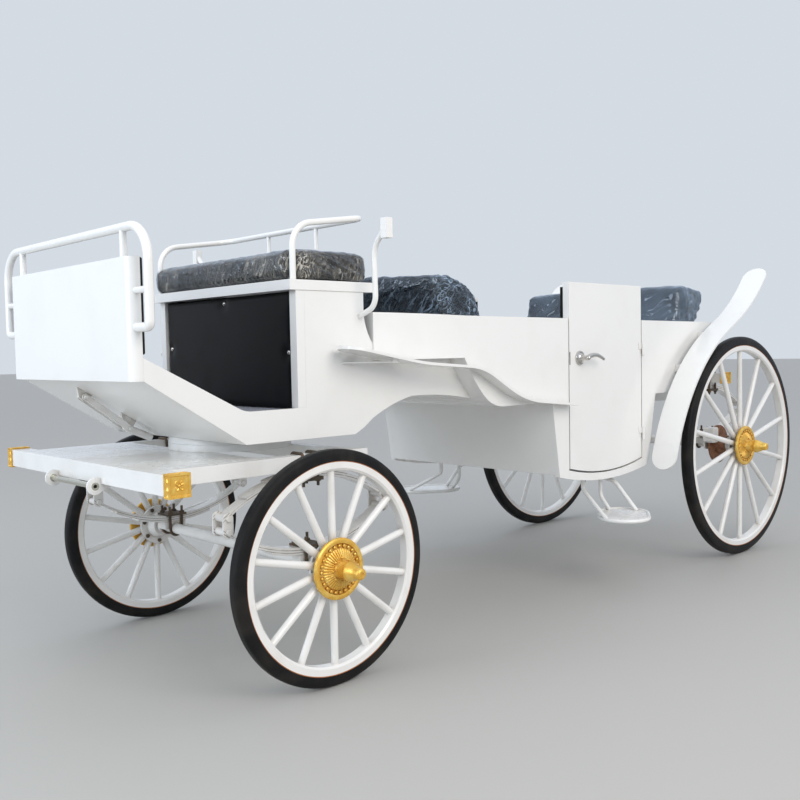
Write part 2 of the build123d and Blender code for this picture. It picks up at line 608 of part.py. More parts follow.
front_back &= block((-back_x, back_x), (400, 900), (SHELF_Z + SHEET_T + cushion_gap, 1366.0))
save("front_seat_back", fillet(front_back.edges().group_by(Axis.Z)[-1], pad_round))
rear_back = across(outline((2232.0, cushion_top + 2), (2380.0, cushion_top + 2), (2500.0, 1209.0),
                           (2580.0, 1345.0), (2350.0, 1376.0)), -back_x, back_x)
save("rear_seat_back", fillet(rear_back.edges().group_by(Axis.Z)[-2:], pad_round))


# Mudguards: a bent strip with round ends. The front one runs back along the bowed tub as a narrow ledge
# from a free tongue, which a flat stay holds off the driver's box.
def mudguard(points, bends, x_low, x_high):
    """A strip of sheet bent along a side-view line, its ends rounded in its own plane."""
    sheet_t = 10.0
    width = x_high - x_low
    path = FilletPolyline(*[(0, y, z) for y, z in points], radius=bends)
    strip = sweep(Plane(path @ 0, x_dir=(1, 0, 0), z_dir=path % 0) * Rectangle(width, sheet_t), path=path)
    for at in (0, 1):
        strip += Plane(path @ at, x_dir=(1, 0, 0), z_dir=(path % at).cross(Vector(1, 0, 0))) * \
            Cylinder(width / 2, sheet_t)
    return Pos((x_low + x_high) / 2, 0, 0) * strip


front_guard = mudguard([(172.0, 1074.0), (430.0, 1026.0), (742.0, 1003.0), (985.0, 868.0), (1380.0, 828.0)],
                       [1200.0, 320.0, 500.0], 450.0, 580.0)
front_guard -= block((0, 700), (DOOR_FRONT - 14, 1500), (700, 1100))
stay_t = 5.0
stay_w = 24.0
stay_z = 1031.0
stay_foot = (548.0, 316.0)
stay = Line((BOX_X - 10, 173.0), stay_foot)
stay = extrude(Pos(0, 0, stay_z) * trace(stay, stay_w), amount=stay_t)
stay += Pos(*stay_foot, stay_z) * Cylinder(stay_w / 2, 16, align=ABOVE)
front_guard += stay - block((0, BOX_X), (0, 400), (1000, 1100))
front_guard -= standing(tub_plan(TUB_X))
save("front_mudguards", front_guard, mirrored(front_guard))
rear_x = (555.0, 680.0)
rear_guard = mudguard([(1945.0, 560.0), (2076.0, 962.0), (2705.0, 1272.0), (2838.0, 1418.0)],
                      [980.0, 980.0], *rear_x)
REAR_TABS = [(2215.0, 978.0), (2430.0, 1134.0)]
for y, z in REAR_TABS:
    rear_guard += block((TUB_X, rear_x[0] + 30), (y - 5, y + 5), (z - 34, z))
save("rear_mudguards", rear_guard, mirrored(rear_guard))

# Steps: an oval plate set at an angle in a round tube rim, hung from the well's floor on three bent bars
step_z = 330.0
tread_t = 6.0
rim_r = 8.5
bar_r = 9.0
STEP_BARS = [
    # corners of the bar from the floor to the rim, and its bends
    ([(440.0, 1553.0, well_low), (440.0, 1553.0, 436.0), (620.0, 1476.0, step_z)], [26.0]),
    ([(440.0, 1689.0, well_low), (440.0, 1689.0, 392.0), (496.0, 1682.0, step_z)], [60.0]),
    ([(410.0, 1745.0, well_low), (410.0, 1745.0, 470.0), (480.0, 1745.0, 456.0), (594.0, 1748.0, step_z)],
     [24.0, 62.0]),
]
step_plan = SlotOverall(320.0, 210.0, rotation=124.0)
rim_path = Wire(step_plan.edges())
rim = sweep(Plane(rim_path @ 0, z_dir=rim_path % 0) * Circle(rim_r), path=rim_path)
tread = extrude(Pos(0, 0, -tread_t / 2) * step_plan, amount=tread_t)
step = Pos(605.0, 1625.0, step_z) * (tread + rim)
for corners, bends in STEP_BARS:
    step += bar_along(corners, bends, Circle(bar_r))
save("steps", step, mirrored(step))

# Rear frame: two rails under the tub, and a cross-beam over the springs with cast end caps
rail_h = 50.0
beam_z = REAR_SPRING_TOP + SEAT_PAD
beam_back = BEAM_Y + BEAM_H
frame = block((-BEAM_HALF, BEAM_HALF), (BEAM_Y, beam_back), (beam_z, beam_z + BEAM_H))
for side in (-1, 1):
    xs = sorted(side * x for x in BODY_RAIL_X)
    frame += block(xs, (WELL_BACK + 2, beam_back + 20), (BELLY_Z - rail_h, BELLY_Z))
    frame += block(xs, (BEAM_Y, beam_back), (BELLY_Z, beam_z))
    xs = sorted(side * x for x in (rail_in, rail_out))
    frame += block(xs, (WHEELBASE - seat_half, beam_back), (REAR_SPRING_TOP, beam_z))
save("rear_frame", frame)
cap = end_cap(BEAM_HALF, (BEAM_Y, beam_back), (beam_z, beam_z + BEAM_H))
save("rear_beam_caps", cap, mirrored(cap))

# Brake linkage under the sloping footboard: a lever of two flat bars on two hangers, and the push rod
link_x = -100.0
slope = (DASH_LOW - FLOOR_Z) / (DASH_BACK + 224.0)
lever_top = (-505.0, 938.0)
lever_low = (-350.0, 822.0)
rod_end = (-262.0, 783.0)
lever_half = 11.0
lever_bar = trace(Line(lever_top, lever_low), 2 * lever_half) + Pos(*lever_top) * Circle(lever_half)
lever_bar += Pos(*lever_low) * Circle(lever_half)
linkage = bar_along([(link_x, *lever_low), (link_x, *rod_end)], None, Circle(13.0))
for low in (link_x - 22, link_x + 16):
    linkage += across(lever_bar, low, low + 6)
for y, z in (lever_top, lever_low):
    roots = [(root, DASH_LOW + slope * (root - DASH_BACK)) for root in (y + 30, y - 22)]
    hanger = outline((y - 16, z), (y, z - 14), (y + 16, z), *roots)
    linkage += across(hanger, link_x - 6, link_x + 6) + x_cylinder(7.0, link_x, y, z, 60.0)
save("brake_linkage", linkage)
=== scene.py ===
import math
import bmesh
import bpy
import numpy as np
from mathutils import Matrix, Vector


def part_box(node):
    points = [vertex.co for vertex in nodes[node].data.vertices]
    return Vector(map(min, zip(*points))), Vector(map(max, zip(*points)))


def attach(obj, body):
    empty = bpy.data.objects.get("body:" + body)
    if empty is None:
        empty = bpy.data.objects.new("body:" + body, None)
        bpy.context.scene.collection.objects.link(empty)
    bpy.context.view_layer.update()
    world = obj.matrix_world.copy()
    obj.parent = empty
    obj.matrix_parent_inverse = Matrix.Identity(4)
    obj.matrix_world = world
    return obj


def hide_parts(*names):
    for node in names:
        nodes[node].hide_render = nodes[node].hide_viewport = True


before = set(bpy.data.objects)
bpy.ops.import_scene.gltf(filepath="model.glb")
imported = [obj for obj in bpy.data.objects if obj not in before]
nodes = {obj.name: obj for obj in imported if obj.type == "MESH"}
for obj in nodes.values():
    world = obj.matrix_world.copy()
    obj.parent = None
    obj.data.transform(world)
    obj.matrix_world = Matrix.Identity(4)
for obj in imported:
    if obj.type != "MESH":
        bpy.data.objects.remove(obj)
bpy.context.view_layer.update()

# Tyres. A solid rubber band is pressed over each rim: flat flanks, round shoulders and a low crown.
# Moulded black rubber with a fine grain, greyed by road dust; a line of rust shows between it and the rim.
SIDES = {"left": 1.0, "right": -1.0}
ENDS = ("front", "rear")
TURN = 2 * np.pi
TYRE_BLACK = (0.010, 0.010, 0.0105, 1.0)
TYRE_DUST = (0.10, 0.085, 0.065, 1.0)
TYRE_SQUARENESS = 3.6
TYRE_STEPS = 144
TYRE_SECTION_STEPS = 23
RUST_LINE = (0.36, 0.125, 0.03, 1.0)
RUST_LINE_R = 0.0040
RUST_LINE_STEPS = 8


def node(tree, kind, inputs=None, **settings):
    """Adds a shader node: settings are its own options, inputs maps a socket to a value or an output."""
    made_node = tree.nodes.new(kind)
    for key, value in settings.items():
        setattr(made_node, key, value)
    for key, value in (inputs or {}).items():
        if isinstance(value, bpy.types.NodeSocket):
            tree.links.new(value, made_node.inputs[key])
        else:
            made_node.inputs[key].default_value = value
    return made_node


def finish_of(name, colour, roughness, metallic=0.0):
    """A material with one Principled shader of that colour; returns the material, its tree and the shader."""
    material = bpy.data.materials.new(name)
    material.use_nodes = True
    tree = material.node_tree
    shader = tree.nodes["Principled BSDF"]
    shader.inputs["Base Color"].default_value = colour
    shader.inputs["Roughness"].default_value = roughness
    shader.inputs["Metallic"].default_value = metallic
    return material, tree, shader


def ramp(tree, value, low=0.0, high=1.0, start=0.0, stop=1.0):
    """start where the value is low or less, stop where it is high or more, and an even run between."""
    inputs = {"Value": value, "From Min": low, "From Max": high, "To Min": start, "To Max": stop}
    return node(tree, "ShaderNodeMapRange", inputs).outputs["Result"]


def cloud(tree, scale, detail=4.0, low=0.4, high=0.6):
    """A noise of scale lumps a metre in the piece's own place, running from 0 to 1 between low and high."""
    place = node(tree, "ShaderNodeTexCoord").outputs["Object"]
    noise = node(tree, "ShaderNodeTexNoise", {"Vector": place, "Scale": scale, "Detail": detail})
    return ramp(tree, noise.outputs["Fac"], low, high)


def mixed(tree, share, first, second):
    """One colour going over to another as share goes from 0 to 1."""
    blended = node(tree, "ShaderNodeMix", data_type="RGBA")
    for name, value in (("Factor_Float", share), ("A_Color", first), ("B_Color", second)):
        target = next(socket for socket in blended.inputs if socket.identifier == name)
        if isinstance(value, bpy.types.NodeSocket):
            tree.links.new(value, target)
        else:
            target.default_value = value
    return next(socket for socket in blended.outputs if socket.identifier == "Result_Color")


def times(tree, first, second, operation="MULTIPLY"):
    """Two numbers joined by an operation, multiplied unless another is named, and kept between 0 and 1."""
    return node(tree, "ShaderNodeMath", {0: first, 1: second}, operation=operation, use_clamp=True).outputs[0]


def rough_by(tree, shader, share, low, high):
    """Roughness going from low to high as share goes from 0 to 1."""
    tree.links.new(ramp(tree, share, start=low, stop=high), shader.inputs["Roughness"])


def bumped(tree, shader, height, depth, strength=1.0, soft=0.0):
    """Bump on the shader: height from 0 to 1 stands for that depth in metres. Edges look rounded by soft."""
    bump = node(tree, "ShaderNodeBump", {"Height": height, "Distance": depth, "Strength": strength})
    if soft:
        edge = node(tree, "ShaderNodeBevel", {"Radius": soft}, samples=6)
        tree.links.new(edge.outputs["Normal"], bump.inputs["Normal"])
    tree.links.new(bump.outputs["Normal"], shader.inputs["Normal"])


def middle(name):
    """The middle of a piece's box."""
    low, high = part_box(name)
    return np.array((low + high) / 2)


def extent(name):
    """The three sides of a piece's box."""
    low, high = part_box(name)
    return np.array(high - low)


def grid_faces(rows, columns, round_rows=False, round_columns=False):
    """Quads between neighbours of a grid numbered row by row, joined up where rows or columns run round."""
    row = np.arange(rows if round_rows else rows - 1)[:, None]
    column = np.arange(columns if round_columns else columns - 1)[None]
    next_row, next_column = (row + 1) % rows, (column + 1) % columns
    corners = [row * columns + column, row * columns + next_column,
               next_row * columns + next_column, next_row * columns + column]
    return np.stack(corners, -1).reshape(-1, 4)


def turned(profile, place, axis="X", count=32, ring=False):
    """(along, radius) pairs carried round an axis: a point at angle a is (along, radius·cos a, radius·sin a)
    from place. A ring's last pair is joined to its first."""
    along, radius = np.array(profile, float).T[:, :, None]
    angle = np.linspace(0, TURN, count, endpoint=False)
    points = np.stack([along + 0 * angle, radius * np.cos(angle), radius * np.sin(angle)], -1)
    points = np.roll(points, "XYZ".index(axis), axis=-1) + np.array(place)
    return points, grid_faces(len(profile), count, ring, True)


def placed(name, data):
    """A new object with that data, put into the scene."""
    piece = bpy.data.objects.new(name, data)
    bpy.context.scene.collection.objects.link(piece)
    return piece


def made(name, body, material, parts, sharp=32.0, replaces=()):
    """One piece from (points, faces) pairs: doubles merged, faces turned outwards, edges kept sharp past that
    many degrees. It rides on body, takes that slot, and may replace pieces of the frame."""
    start = 0
    points, faces = [], []
    for part_points, part_faces in parts:
        flat = np.reshape(part_points, (-1, 3))
        points.append(flat)
        faces += (part_faces + start).tolist()
        start += len(flat)
    mesh = bpy.data.meshes.new(name)
    mesh.from_pydata(np.concatenate(points).tolist(), [], faces)
    worked = bmesh.new()
    worked.from_mesh(mesh)
    bmesh.ops.remove_doubles(worked, verts=worked.verts, dist=2e-6)
    bmesh.ops.recalc_face_normals(worked, faces=worked.faces)
    worked.to_mesh(mesh)
    worked.free()
    mesh.shade_smooth()
    mesh.set_sharp_from_angle(angle=math.radians(sharp))
    mesh.materials.append(material)
    piece = placed(name, mesh)
    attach(piece, body)
    if replaces:
        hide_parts(*replaces)
    return piece


def on_side(parts, sign):
    """Parts drawn for the left side, or their mirror image for the right."""
    return [(np.reshape(points, (-1, 3)) * (sign, 1, 1), faces) for points, faces in parts]


def rubber():
    """Black rubber: colour goes to dust where a cloud noise is high, and a finer noise gives the grain."""
    material, tree, shader = finish_of("tyre_rubber", TYRE_BLACK, 0.5)
    dust = times(tree, cloud(tree, 11.0, 8.0, 0.45, 0.8), 0.22)
    tree.links.new(mixed(tree, dust, TYRE_BLACK, TYRE_DUST), shader.inputs["Base Color"])
    rough_by(tree, shader, dust, 0.42, 0.85)
    shader.inputs["Specular IOR Level"].default_value = 0.12
    bumped(tree, shader, cloud(tree, 900.0, 3.0), 0.0003, 0.5)
    return material


def tyre(place, half, radius, seat):
    """A superellipse of squareness n carried round X: at angle a its place across is half·cos^(2/n) a, and it
    stands (radius - seat)·sin^(2/n) a above the seat."""
    angle = np.linspace(0, np.pi, TYRE_SECTION_STEPS)
    power = 2 / TYRE_SQUARENESS
    across = half * np.sign(np.cos(angle)) * np.abs(np.cos(angle)) ** power
    height = seat + (radius - seat) * np.clip(np.sin(angle), 0, 1) ** power
    return turned(np.stack([across, height], -1), place, count=TYRE_STEPS, ring=True)


def round_wire(along, radius, thick, place):
    """A thin torus about X: a small circle of radius thick carried round at that radius."""
    angle = np.linspace(0, TURN, RUST_LINE_STEPS, endpoint=False)
    profile = np.stack([along + thick * np.cos(angle), radius + thick * np.sin(angle)], -1)
    return turned(profile, place, count=TYRE_STEPS, ring=True)


tyre_black = rubber()
rust_line = finish_of("rust_line", RUST_LINE, 0.85)[0]
for end in ENDS:
    left = f"tyre_{end}_left"
    centre = middle(left)
    seat = extent(f"wheel_{end}_left")[2] / 2
    half = extent(left)[0] / 2
    band = [tyre(centre, half, extent(left)[2] / 2, seat)]
    lines = [round_wire(x, seat, RUST_LINE_R, centre) for x in (-half + RUST_LINE_R, half - RUST_LINE_R)]
    for side, sign in SIDES.items():
        body = f"{end}_wheel_{side}"
        made(f"tyre_band_{end}_{side}", body, tyre_black, on_side(band, sign),
             replaces=[f"tyre_{end}_{side}"])
        made(f"rim_rust_{end}_{side}", body, rust_line, on_side(lines, sign))

# Wheels. Steel felloes and spokes, welded and sprayed white; dust and painted shade darken the corners. A
# weld bead runs round each spoke at the felloe, and hexagon bolts hold the hub's inner flange.
WHEEL_WHITE = (0.82, 0.81, 0.785, 1.0)
DUST_AND_SHADE = (0.40, 0.33, 0.25, 1.0)
IRON_BROWN = (0.085, 0.065, 0.045, 1.0)
IRON_RUST = (0.21, 0.125, 0.07, 1.0)
SPOKES = 14
SPOKE_R = 0.0122
FELLOE_DEPTH = 0.030
BEAD_R = 0.0024
BEAD_STEPS = (18, 6)
FLANGE_BACK = -0.0235
FLANGE_BOLT_R = 0.066
BOLT_R = 0.0082
BOLT_H = 0.007


def hollows(tree, reach, low=0.35, high=0.9):
    """1 deep in corners and between close pieces, 0 in the open, felt over that many metres: where shade is
    painted.
    """
    open_air = node(tree, "ShaderNodeAmbientOcclusion", {"Distance": reach}, samples=6).outputs["AO"]
    return ramp(tree, open_air, low, high, 1.0, 0.0)


def painted(names, material):
    """Gives the finish to those pieces of the frame."""
    for name in names:
        nodes[name].data.materials.clear()
        nodes[name].data.materials.append(material)


def white_paint(name, colour, dirt, corner_dust_and_shade, low=0.5, high=0.75, top_dust_and_shade=0.0):
    """White gloss. Dust shows where a cloud noise is high, up to the share dirt; dust and painted shade
    darken the corners, up to corner_dust_and_shade, and level faces, up to top_dust_and_shade; the bump gives
    a faint orange peel and soft edges."""
    material, tree, shader = finish_of(name, colour, 0.25)
    patch = times(tree, cloud(tree, 7.0, 8.0, low, high), dirt)
    # Dust and painted shade in the corners: an ambient occlusion mask, broken by a cloud noise, takes the
    # paint towards DUST_AND_SHADE.
    corner = times(tree, hollows(tree, 0.03), times(tree, cloud(tree, 35.0, 5.0, 0.3, 0.7), corner_dust_and_shade))
    share = times(tree, patch, corner, "ADD")
    # Dust and painted shade on level faces: faces that look up go towards the same colour.
    if top_dust_and_shade:
        normal = node(tree, "ShaderNodeNewGeometry").outputs["True Normal"]
        upward = node(tree, "ShaderNodeSeparateXYZ", {"Vector": normal}).outputs["Z"]
        lying_dust_and_shade = times(tree, cloud(tree, 9.0, 7.0, 0.25, 0.7), top_dust_and_shade)
        share = times(tree, share, times(tree, ramp(tree, upward, 0.6, 0.95), lying_dust_and_shade), "ADD")
    tree.links.new(mixed(tree, share, colour, DUST_AND_SHADE), shader.inputs["Base Color"])
    rough_by(tree, shader, share, 0.2, 0.65)
    shader.inputs["Coat Weight"].default_value = 0.35
    shader.inputs["Coat Roughness"].default_value = 0.06
    bumped(tree, shader, cloud(tree, 240.0, 2.0, 0.3, 0.7), 0.0002, 0.2, soft=0.0022)
    return material


def rusty_iron(name, colour, bright, low, high):
    """Rusty iron: brown going over to a brighter rust where a cloud noise is high, rough and pitted."""
    material, tree, shader = finish_of(name, colour, 0.8, 0.35)
    patch = cloud(tree, 60.0, 8.0, low, high)
    tree.links.new(mixed(tree, patch, colour, bright), shader.inputs["Base Color"])
    rough_by(tree, shader, patch, 0.55, 0.9)
    bumped(tree, shader, cloud(tree, 420.0, 5.0), 0.0006, 0.6, soft=0.001)
    return material


def spun(points, angles):
    """Those points turned about X by each angle: one more axis in front, for the angles."""
    x, y, z = np.reshape(points, (-1, 3)).T
    cos, sin = np.cos(angles)[:, None], np.sin(angles)[:, None]
    return np.stack([x + 0 * cos, y * cos - z * sin, y * sin + z * cos], -1)


def copies(points, faces):
    """The same faces on each of many point sets, stacked on the first axis."""
    size = points.shape[1]
    repeated = faces[None] + size * np.arange(len(points))[:, None, None]
    return points.reshape(-1, 3), repeated.reshape(-1, faces.shape[1])


def spoke_beads(place, reach):
    """A wavy torus about Z at that reach, once for each spoke, turned about X: the bead round its end."""
    round_spoke = np.linspace(0, TURN, BEAD_STEPS[0], endpoint=False)[:, None]
    round_bead = np.linspace(0, TURN, BEAD_STEPS[1], endpoint=False)[None]
    wobble = BEAD_R * (1 + 0.15 * np.sin(9 * round_spoke))
    out = SPOKE_R + wobble * np.cos(round_bead)
    ring = np.stack([out * np.cos(round_spoke), out * np.sin(round_spoke),
                     reach + wobble * np.sin(round_bead)], -1)
    return copies(spun(ring, np.arange(SPOKES) * TURN / SPOKES) + place, grid_faces(*BEAD_STEPS, True, True))


def hexagon(place, axis, radius, height):
    """A hexagon head or nut with chamfered corners, standing along the axis from place by height."""
    profile = [(0, 0), (0, radius), (0.8 * height, radius), (height, 0.86 * radius), (height, 0)]
    return turned(profile, place, axis, 6)


def bolt_circle(place, along, radius, count):
    """Hexagon heads on a circle about X, standing inwards from the flange's back."""
    head, faces = hexagon((along, 0, radius), "X", BOLT_R, -BOLT_H)
    turns = (np.arange(count) + 0.5) * TURN / count
    return copies(spun(head, turns) + place, faces)


wheel_paint = white_paint("wheel_paint", WHEEL_WHITE, 0.22, 0.8)
brown_iron = rusty_iron("brown_iron", IRON_BROWN, IRON_RUST, 0.5, 0.72)
painted([name for name in nodes if name.startswith("wheel")], wheel_paint)
for end in ENDS:
    centre = middle(f"tyre_{end}_left")
    felloe = extent(f"wheel_{end}_left")[2] / 2 - FELLOE_DEPTH
    beads = [spoke_beads(centre, felloe)]
    bolts = [bolt_circle(centre, FLANGE_BACK, FLANGE_BOLT_R, SPOKES // 2)]
    for side, sign in SIDES.items():
        body = f"{end}_wheel_{side}"
        made(f"spoke_welds_{end}_{side}", body, wheel_paint, on_side(beads, sign))
        made(f"hub_bolts_{end}_{side}", body, brown_iron, on_side(bolts, sign))

# Hub caps. Cast ornaments painted gold: a broad rim, a ring of beads, a shallow dome of fine petals,
# eight studs and a stepped nose. Shade is painted brown into the hollows.
GOLD = (0.80, 0.46, 0.075, 1.0)
GOLD_LIGHT = (0.95, 0.70, 0.20, 1.0)
GOLD_SHADE_BROWN = (0.34, 0.12, 0.02, 1.0)
# The rim and the nose as turned: how far each point stands out from the wheel's middle, and its radius.
CAP_RIM = [(0.025, 0), (0.025, 0.0975), (0.027, 0.0995), (0.031, 0.100), (0.0355, 0.0985), (0.038, 0.0945),
           (0.0387, 0.090), (0.0385, 0.086), (0.0372, 0.0825), (0.034, 0.0805), (0.0325, 0.079),
           (0.0325, 0.0695)]
CAP_NOSE = [(0.0472, 0.0315), (0.050, 0.030), (0.062, 0.0285), (0.076, 0.028), (0.080, 0.0285),
            (0.084, 0.031), (0.088, 0.0325), (0.093, 0.0322), (0.098, 0.0305), (0.108, 0.0265),
            (0.116, 0.0225), (0.122, 0.0205), (0.130, 0.0195), (0.138, 0.0190), (0.142, 0.0175),
            (0.145, 0.0140), (0.146, 0.0095), (0.1455, 0.0055), (0.1435, 0.0045), (0.143, 0)]
DOME_FOOT = 0.0325
DOME_RISE = 0.0147
DOME_STEPS = 26
PETALS = 40
PETAL_STEPS = 8
PETAL_OUT = 0.0685
PETAL_IN = 0.0320
PETAL_H = 0.0036
# How many, how far out from the wheel's middle, on what radius, their own radius, and how far they stand up
CAP_BEADS = (24, 0.0345, 0.0748, 0.0058, 1.0)
CAP_STUDS = (8, 0.0462, 0.0385, 0.0043, 1.5)
KNOB_STEPS = (9, 12)


def gold_paint():
    """Gold paint: brighter and browner by a cloud noise, with painted shade, in brown, in the hollows of the
    casting.
    """
    material, tree, shader = finish_of("gold_paint", GOLD, 0.32, 0.55)
    tone = mixed(tree, cloud(tree, 45.0, 6.0, 0.45, 0.75), GOLD, GOLD_LIGHT)
    # Painted shade: ambient occlusion takes the gold towards brown in the hollows.
    gold_hollow_shade = times(tree, hollows(tree, 0.012, 0.3, 0.85), 0.9)
    tree.links.new(mixed(tree, gold_hollow_shade, tone, GOLD_SHADE_BROWN), shader.inputs["Base Color"])
    rough_by(tree, shader, gold_hollow_shade, 0.27, 0.55)
    bumped(tree, shader, cloud(tree, 500.0, 3.0), 0.0003, 0.35, soft=0.0008)
    return material


def cap_shell(place):
    """The cap as a profile carried round X. On the dome x is raised by PETAL_H·(1 - q² - groove), where q
    runs from -1 to 1 across each petal, out to a round end at PETAL_OUT·(1 - 0.08·(1 - √(1 - q²)))."""
    radius = np.linspace(PETAL_OUT + 0.0005, PETAL_IN, DOME_STEPS)
    rise = DOME_FOOT + DOME_RISE * np.clip((PETAL_OUT - radius) / (PETAL_OUT - PETAL_IN), 0, 1) ** 0.8
    profile = np.concatenate([CAP_RIM, np.stack([rise, radius], -1), CAP_NOSE])
    count = PETALS * PETAL_STEPS
    points, faces = turned(profile, (0, 0, 0), count=count)
    angle = np.linspace(0, TURN, count, endpoint=False)
    across = 2 * ((angle * PETALS / TURN) % 1) - 1
    end = PETAL_OUT * (1 - 0.08 * (1 - np.sqrt(1 - across**2)))
    out = np.clip((end - radius[:, None]) / 0.0016, 0, 1)
    inner = np.clip((radius[:, None] - PETAL_IN) / 0.005, 0, 1)
    groove = 0.3 * np.exp(-(across / 0.3) ** 2)
    points[len(CAP_RIM):len(CAP_RIM) + len(radius), :, 0] += PETAL_H * (1 - across**2 - groove) * out * inner
    return points + place, faces


def knobs(place, count, along, radius, size, stretch):
    """Small balls on a circle about X, half sunk in the face and stretched along X."""
    tilt = np.linspace(0, np.pi, KNOB_STEPS[0])[:, None]
    turn = np.linspace(0, TURN, KNOB_STEPS[1], endpoint=False)[None]
    ball = size * np.stack([stretch * np.cos(tilt) + 0 * turn, np.sin(tilt) * np.cos(turn),
                            np.sin(tilt) * np.sin(turn)], -1) + (along, 0, radius)
    return copies(spun(ball, np.arange(count) * TURN / count) + place, grid_faces(*KNOB_STEPS, False, True))


gold = gold_paint()
painted([name for name in nodes if name.startswith("hub_cap") or name.endswith("_caps")], gold)
for end in ENDS:
    centre = middle(f"tyre_{end}_left")
    cap = [cap_shell(centre), knobs(centre, *CAP_BEADS), knobs(centre, *CAP_STUDS)]
    for side, sign in SIDES.items():
        made(f"hub_ornament_{end}_{side}", f"{end}_wheel_{side}", gold, on_side(cap, sign),
             replaces=[f"hub_cap_{end}_{side}"])

# Brake discs and calipers. Cast discs bolted behind the rear hubs, rusted all over; the calipers are
# sprayed white with the axle.
DISC_RUST = (0.20, 0.09, 0.05, 1.0)
DISC_BRIGHT = (0.40, 0.20, 0.11, 1.0)
GEAR_WHITE = (0.79, 0.78, 0.755, 1.0)
disc_iron = rusty_iron("disc_iron", DISC_RUST, DISC_BRIGHT, 0.4, 0.7)
painted(["brake_disc_left", "brake_disc_right"], disc_iron)
gear_paint = white_paint("gear_paint", GEAR_WHITE, 0.35, 0.9, 0.45, 0.75)
painted(["brake_calipers"], gear_paint)

# Axles and springs. Round axles carry full elliptic springs, clamped by U-bolts that stay bare and rusty;
# a bolt goes through each spring eye and its two shackle plates. Dirt lies in the joints between leaves.
LEAF_DIRT = (0.085, 0.07, 0.055, 1.0)
LEAF_T = 0.008
LEAVES = 2.5
LEAF_PACK = 0.024
SPRING_X = 0.440
AXLE_R = 0.021
ROD_R = 0.005
ROD_X = 0.031
ROD_Y = 0.030
ROD_BEND = 0.012
ROD_PAST_LOWER = 0.028
ROD_PAST_UPPER = 0.022
PLATE_HALF = 0.040
SADDLE_T = 0.008
SADDLE_HALF = 0.042
SADDLE_FRONT = 0.045
SADDLE_LIP = 0.012
SADDLE_SUNK = 0.004
BEAM_IN_CAP = 0.005
ROD_GAP = 0.001
NUT_R = 0.0098
NUT_H = 0.008
SHACKLE_HALF = 0.018
SHACKLE_OUT = 0.032
SHACKLE_BOLT_R = 0.0105
SHACKLE_BOLT_H = 0.007
EYE_GAP = 0.021


def sum_of(tree, operation, *values):
    """The number that one math node gives for those values."""
    return node(tree, "ShaderNodeMath", dict(enumerate(values)), operation=operation).outputs[0]


def apart(tree, first, second):
    """How far two numbers are apart."""
    return sum_of(tree, "ABSOLUTE", sum_of(tree, "SUBTRACT", first, second))


def place_of(tree):
    """X, Y and Z in the piece's own place."""
    place = node(tree, "ShaderNodeTexCoord").outputs["Object"]
    return node(tree, "ShaderNodeSeparateXYZ", {"Vector": place}).outputs


def far_of(tree, along, up):
    """√(along² + up²)."""
    both = node(tree, "ShaderNodeCombineXYZ", {0: along, 1: up}).outputs[0]
    return node(tree, "ShaderNodeVectorMath", {0: both}, operation="LENGTH").outputs["Value"]


def covered(material, share, colour):
    """Lays another colour over a material's paint by that share; returns its shader."""
    tree = material.node_tree
    shader = tree.nodes["Principled BSDF"]
    paint = shader.inputs["Base Color"].links[0].from_socket
    tree.links.new(mixed(tree, share, paint, colour), shader.inputs["Base Color"])
    return shader


def leaf_paint(end):
    """White gloss with a dirty line between each two leaves of a pack, on its sides only. The leaves lie
    about one centre: with rise the height of the pack's bow and half its half length, the first one's radius
    is (half² + rise²)/(2·rise). Both packs are drawn as one, by their height from the spring's middle."""
    low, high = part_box(f"{end}_springs")
    half = (high.y - low.y) / 2 - SHACKLE_HALF
    rise = (high.z - low.z) / 2 - EYE_GAP - LEAVES * LEAF_T
    first_r = (half**2 + rise**2) / (2 * rise)
    material = white_paint(f"{end}_leaf_paint", GEAR_WHITE, 0.35, 0.9, 0.45, 0.75)
    tree = material.node_tree
    place = place_of(tree)
    up = sum_of(tree, "SUBTRACT", apart(tree, place["Z"], (low.z + high.z) / 2), EYE_GAP + rise - first_r)
    along = sum_of(tree, "SUBTRACT", place["Y"], (low.y + high.y) / 2)
    off = apart(tree, apart(tree, far_of(tree, along, up), first_r + LEAF_T), LEAF_T / 2)
    line = ramp(tree, off, 0.0006, 0.0012, 1.0, 0.0)
    normal = node(tree, "ShaderNodeNewGeometry").outputs["True Normal"]
    sideways = sum_of(tree, "ABSOLUTE", node(tree, "ShaderNodeSeparateXYZ", {"Vector": normal}).outputs["X"])
    dirt = times(tree, cloud(tree, 30.0, 3.0, 0.2, 0.5), 0.9)
    covered(material, times(tree, times(tree, line, sideways), dirt), LEAF_DIRT)
    return material


def bent(corners, radius, steps=7):
    """Straight runs joined by arcs: an arc of turn t starts radius·tan(t/2) before its corner."""
    corners = np.array(corners, float)
    into, out = corners[1:-1] - corners[:-2], corners[2:] - corners[1:-1]
    into /= np.linalg.norm(into, axis=1, keepdims=True)
    out /= np.linalg.norm(out, axis=1, keepdims=True)
    along = np.sum(into * out, axis=1, keepdims=True)
    turn = np.arccos(along)
    side = out - into * along
    side /= np.linalg.norm(side, axis=1, keepdims=True)
    swing = (turn * np.linspace(0, 1, steps))[:, :, None]
    first = corners[1:-1] - into * radius * np.tan(turn / 2)
    arcs = first[:, None] + radius * (into[:, None] * np.sin(swing) + side[:, None] * (1 - np.cos(swing)))
    return np.concatenate([corners[:1], arcs.reshape(-1, 3), corners[-1:]])


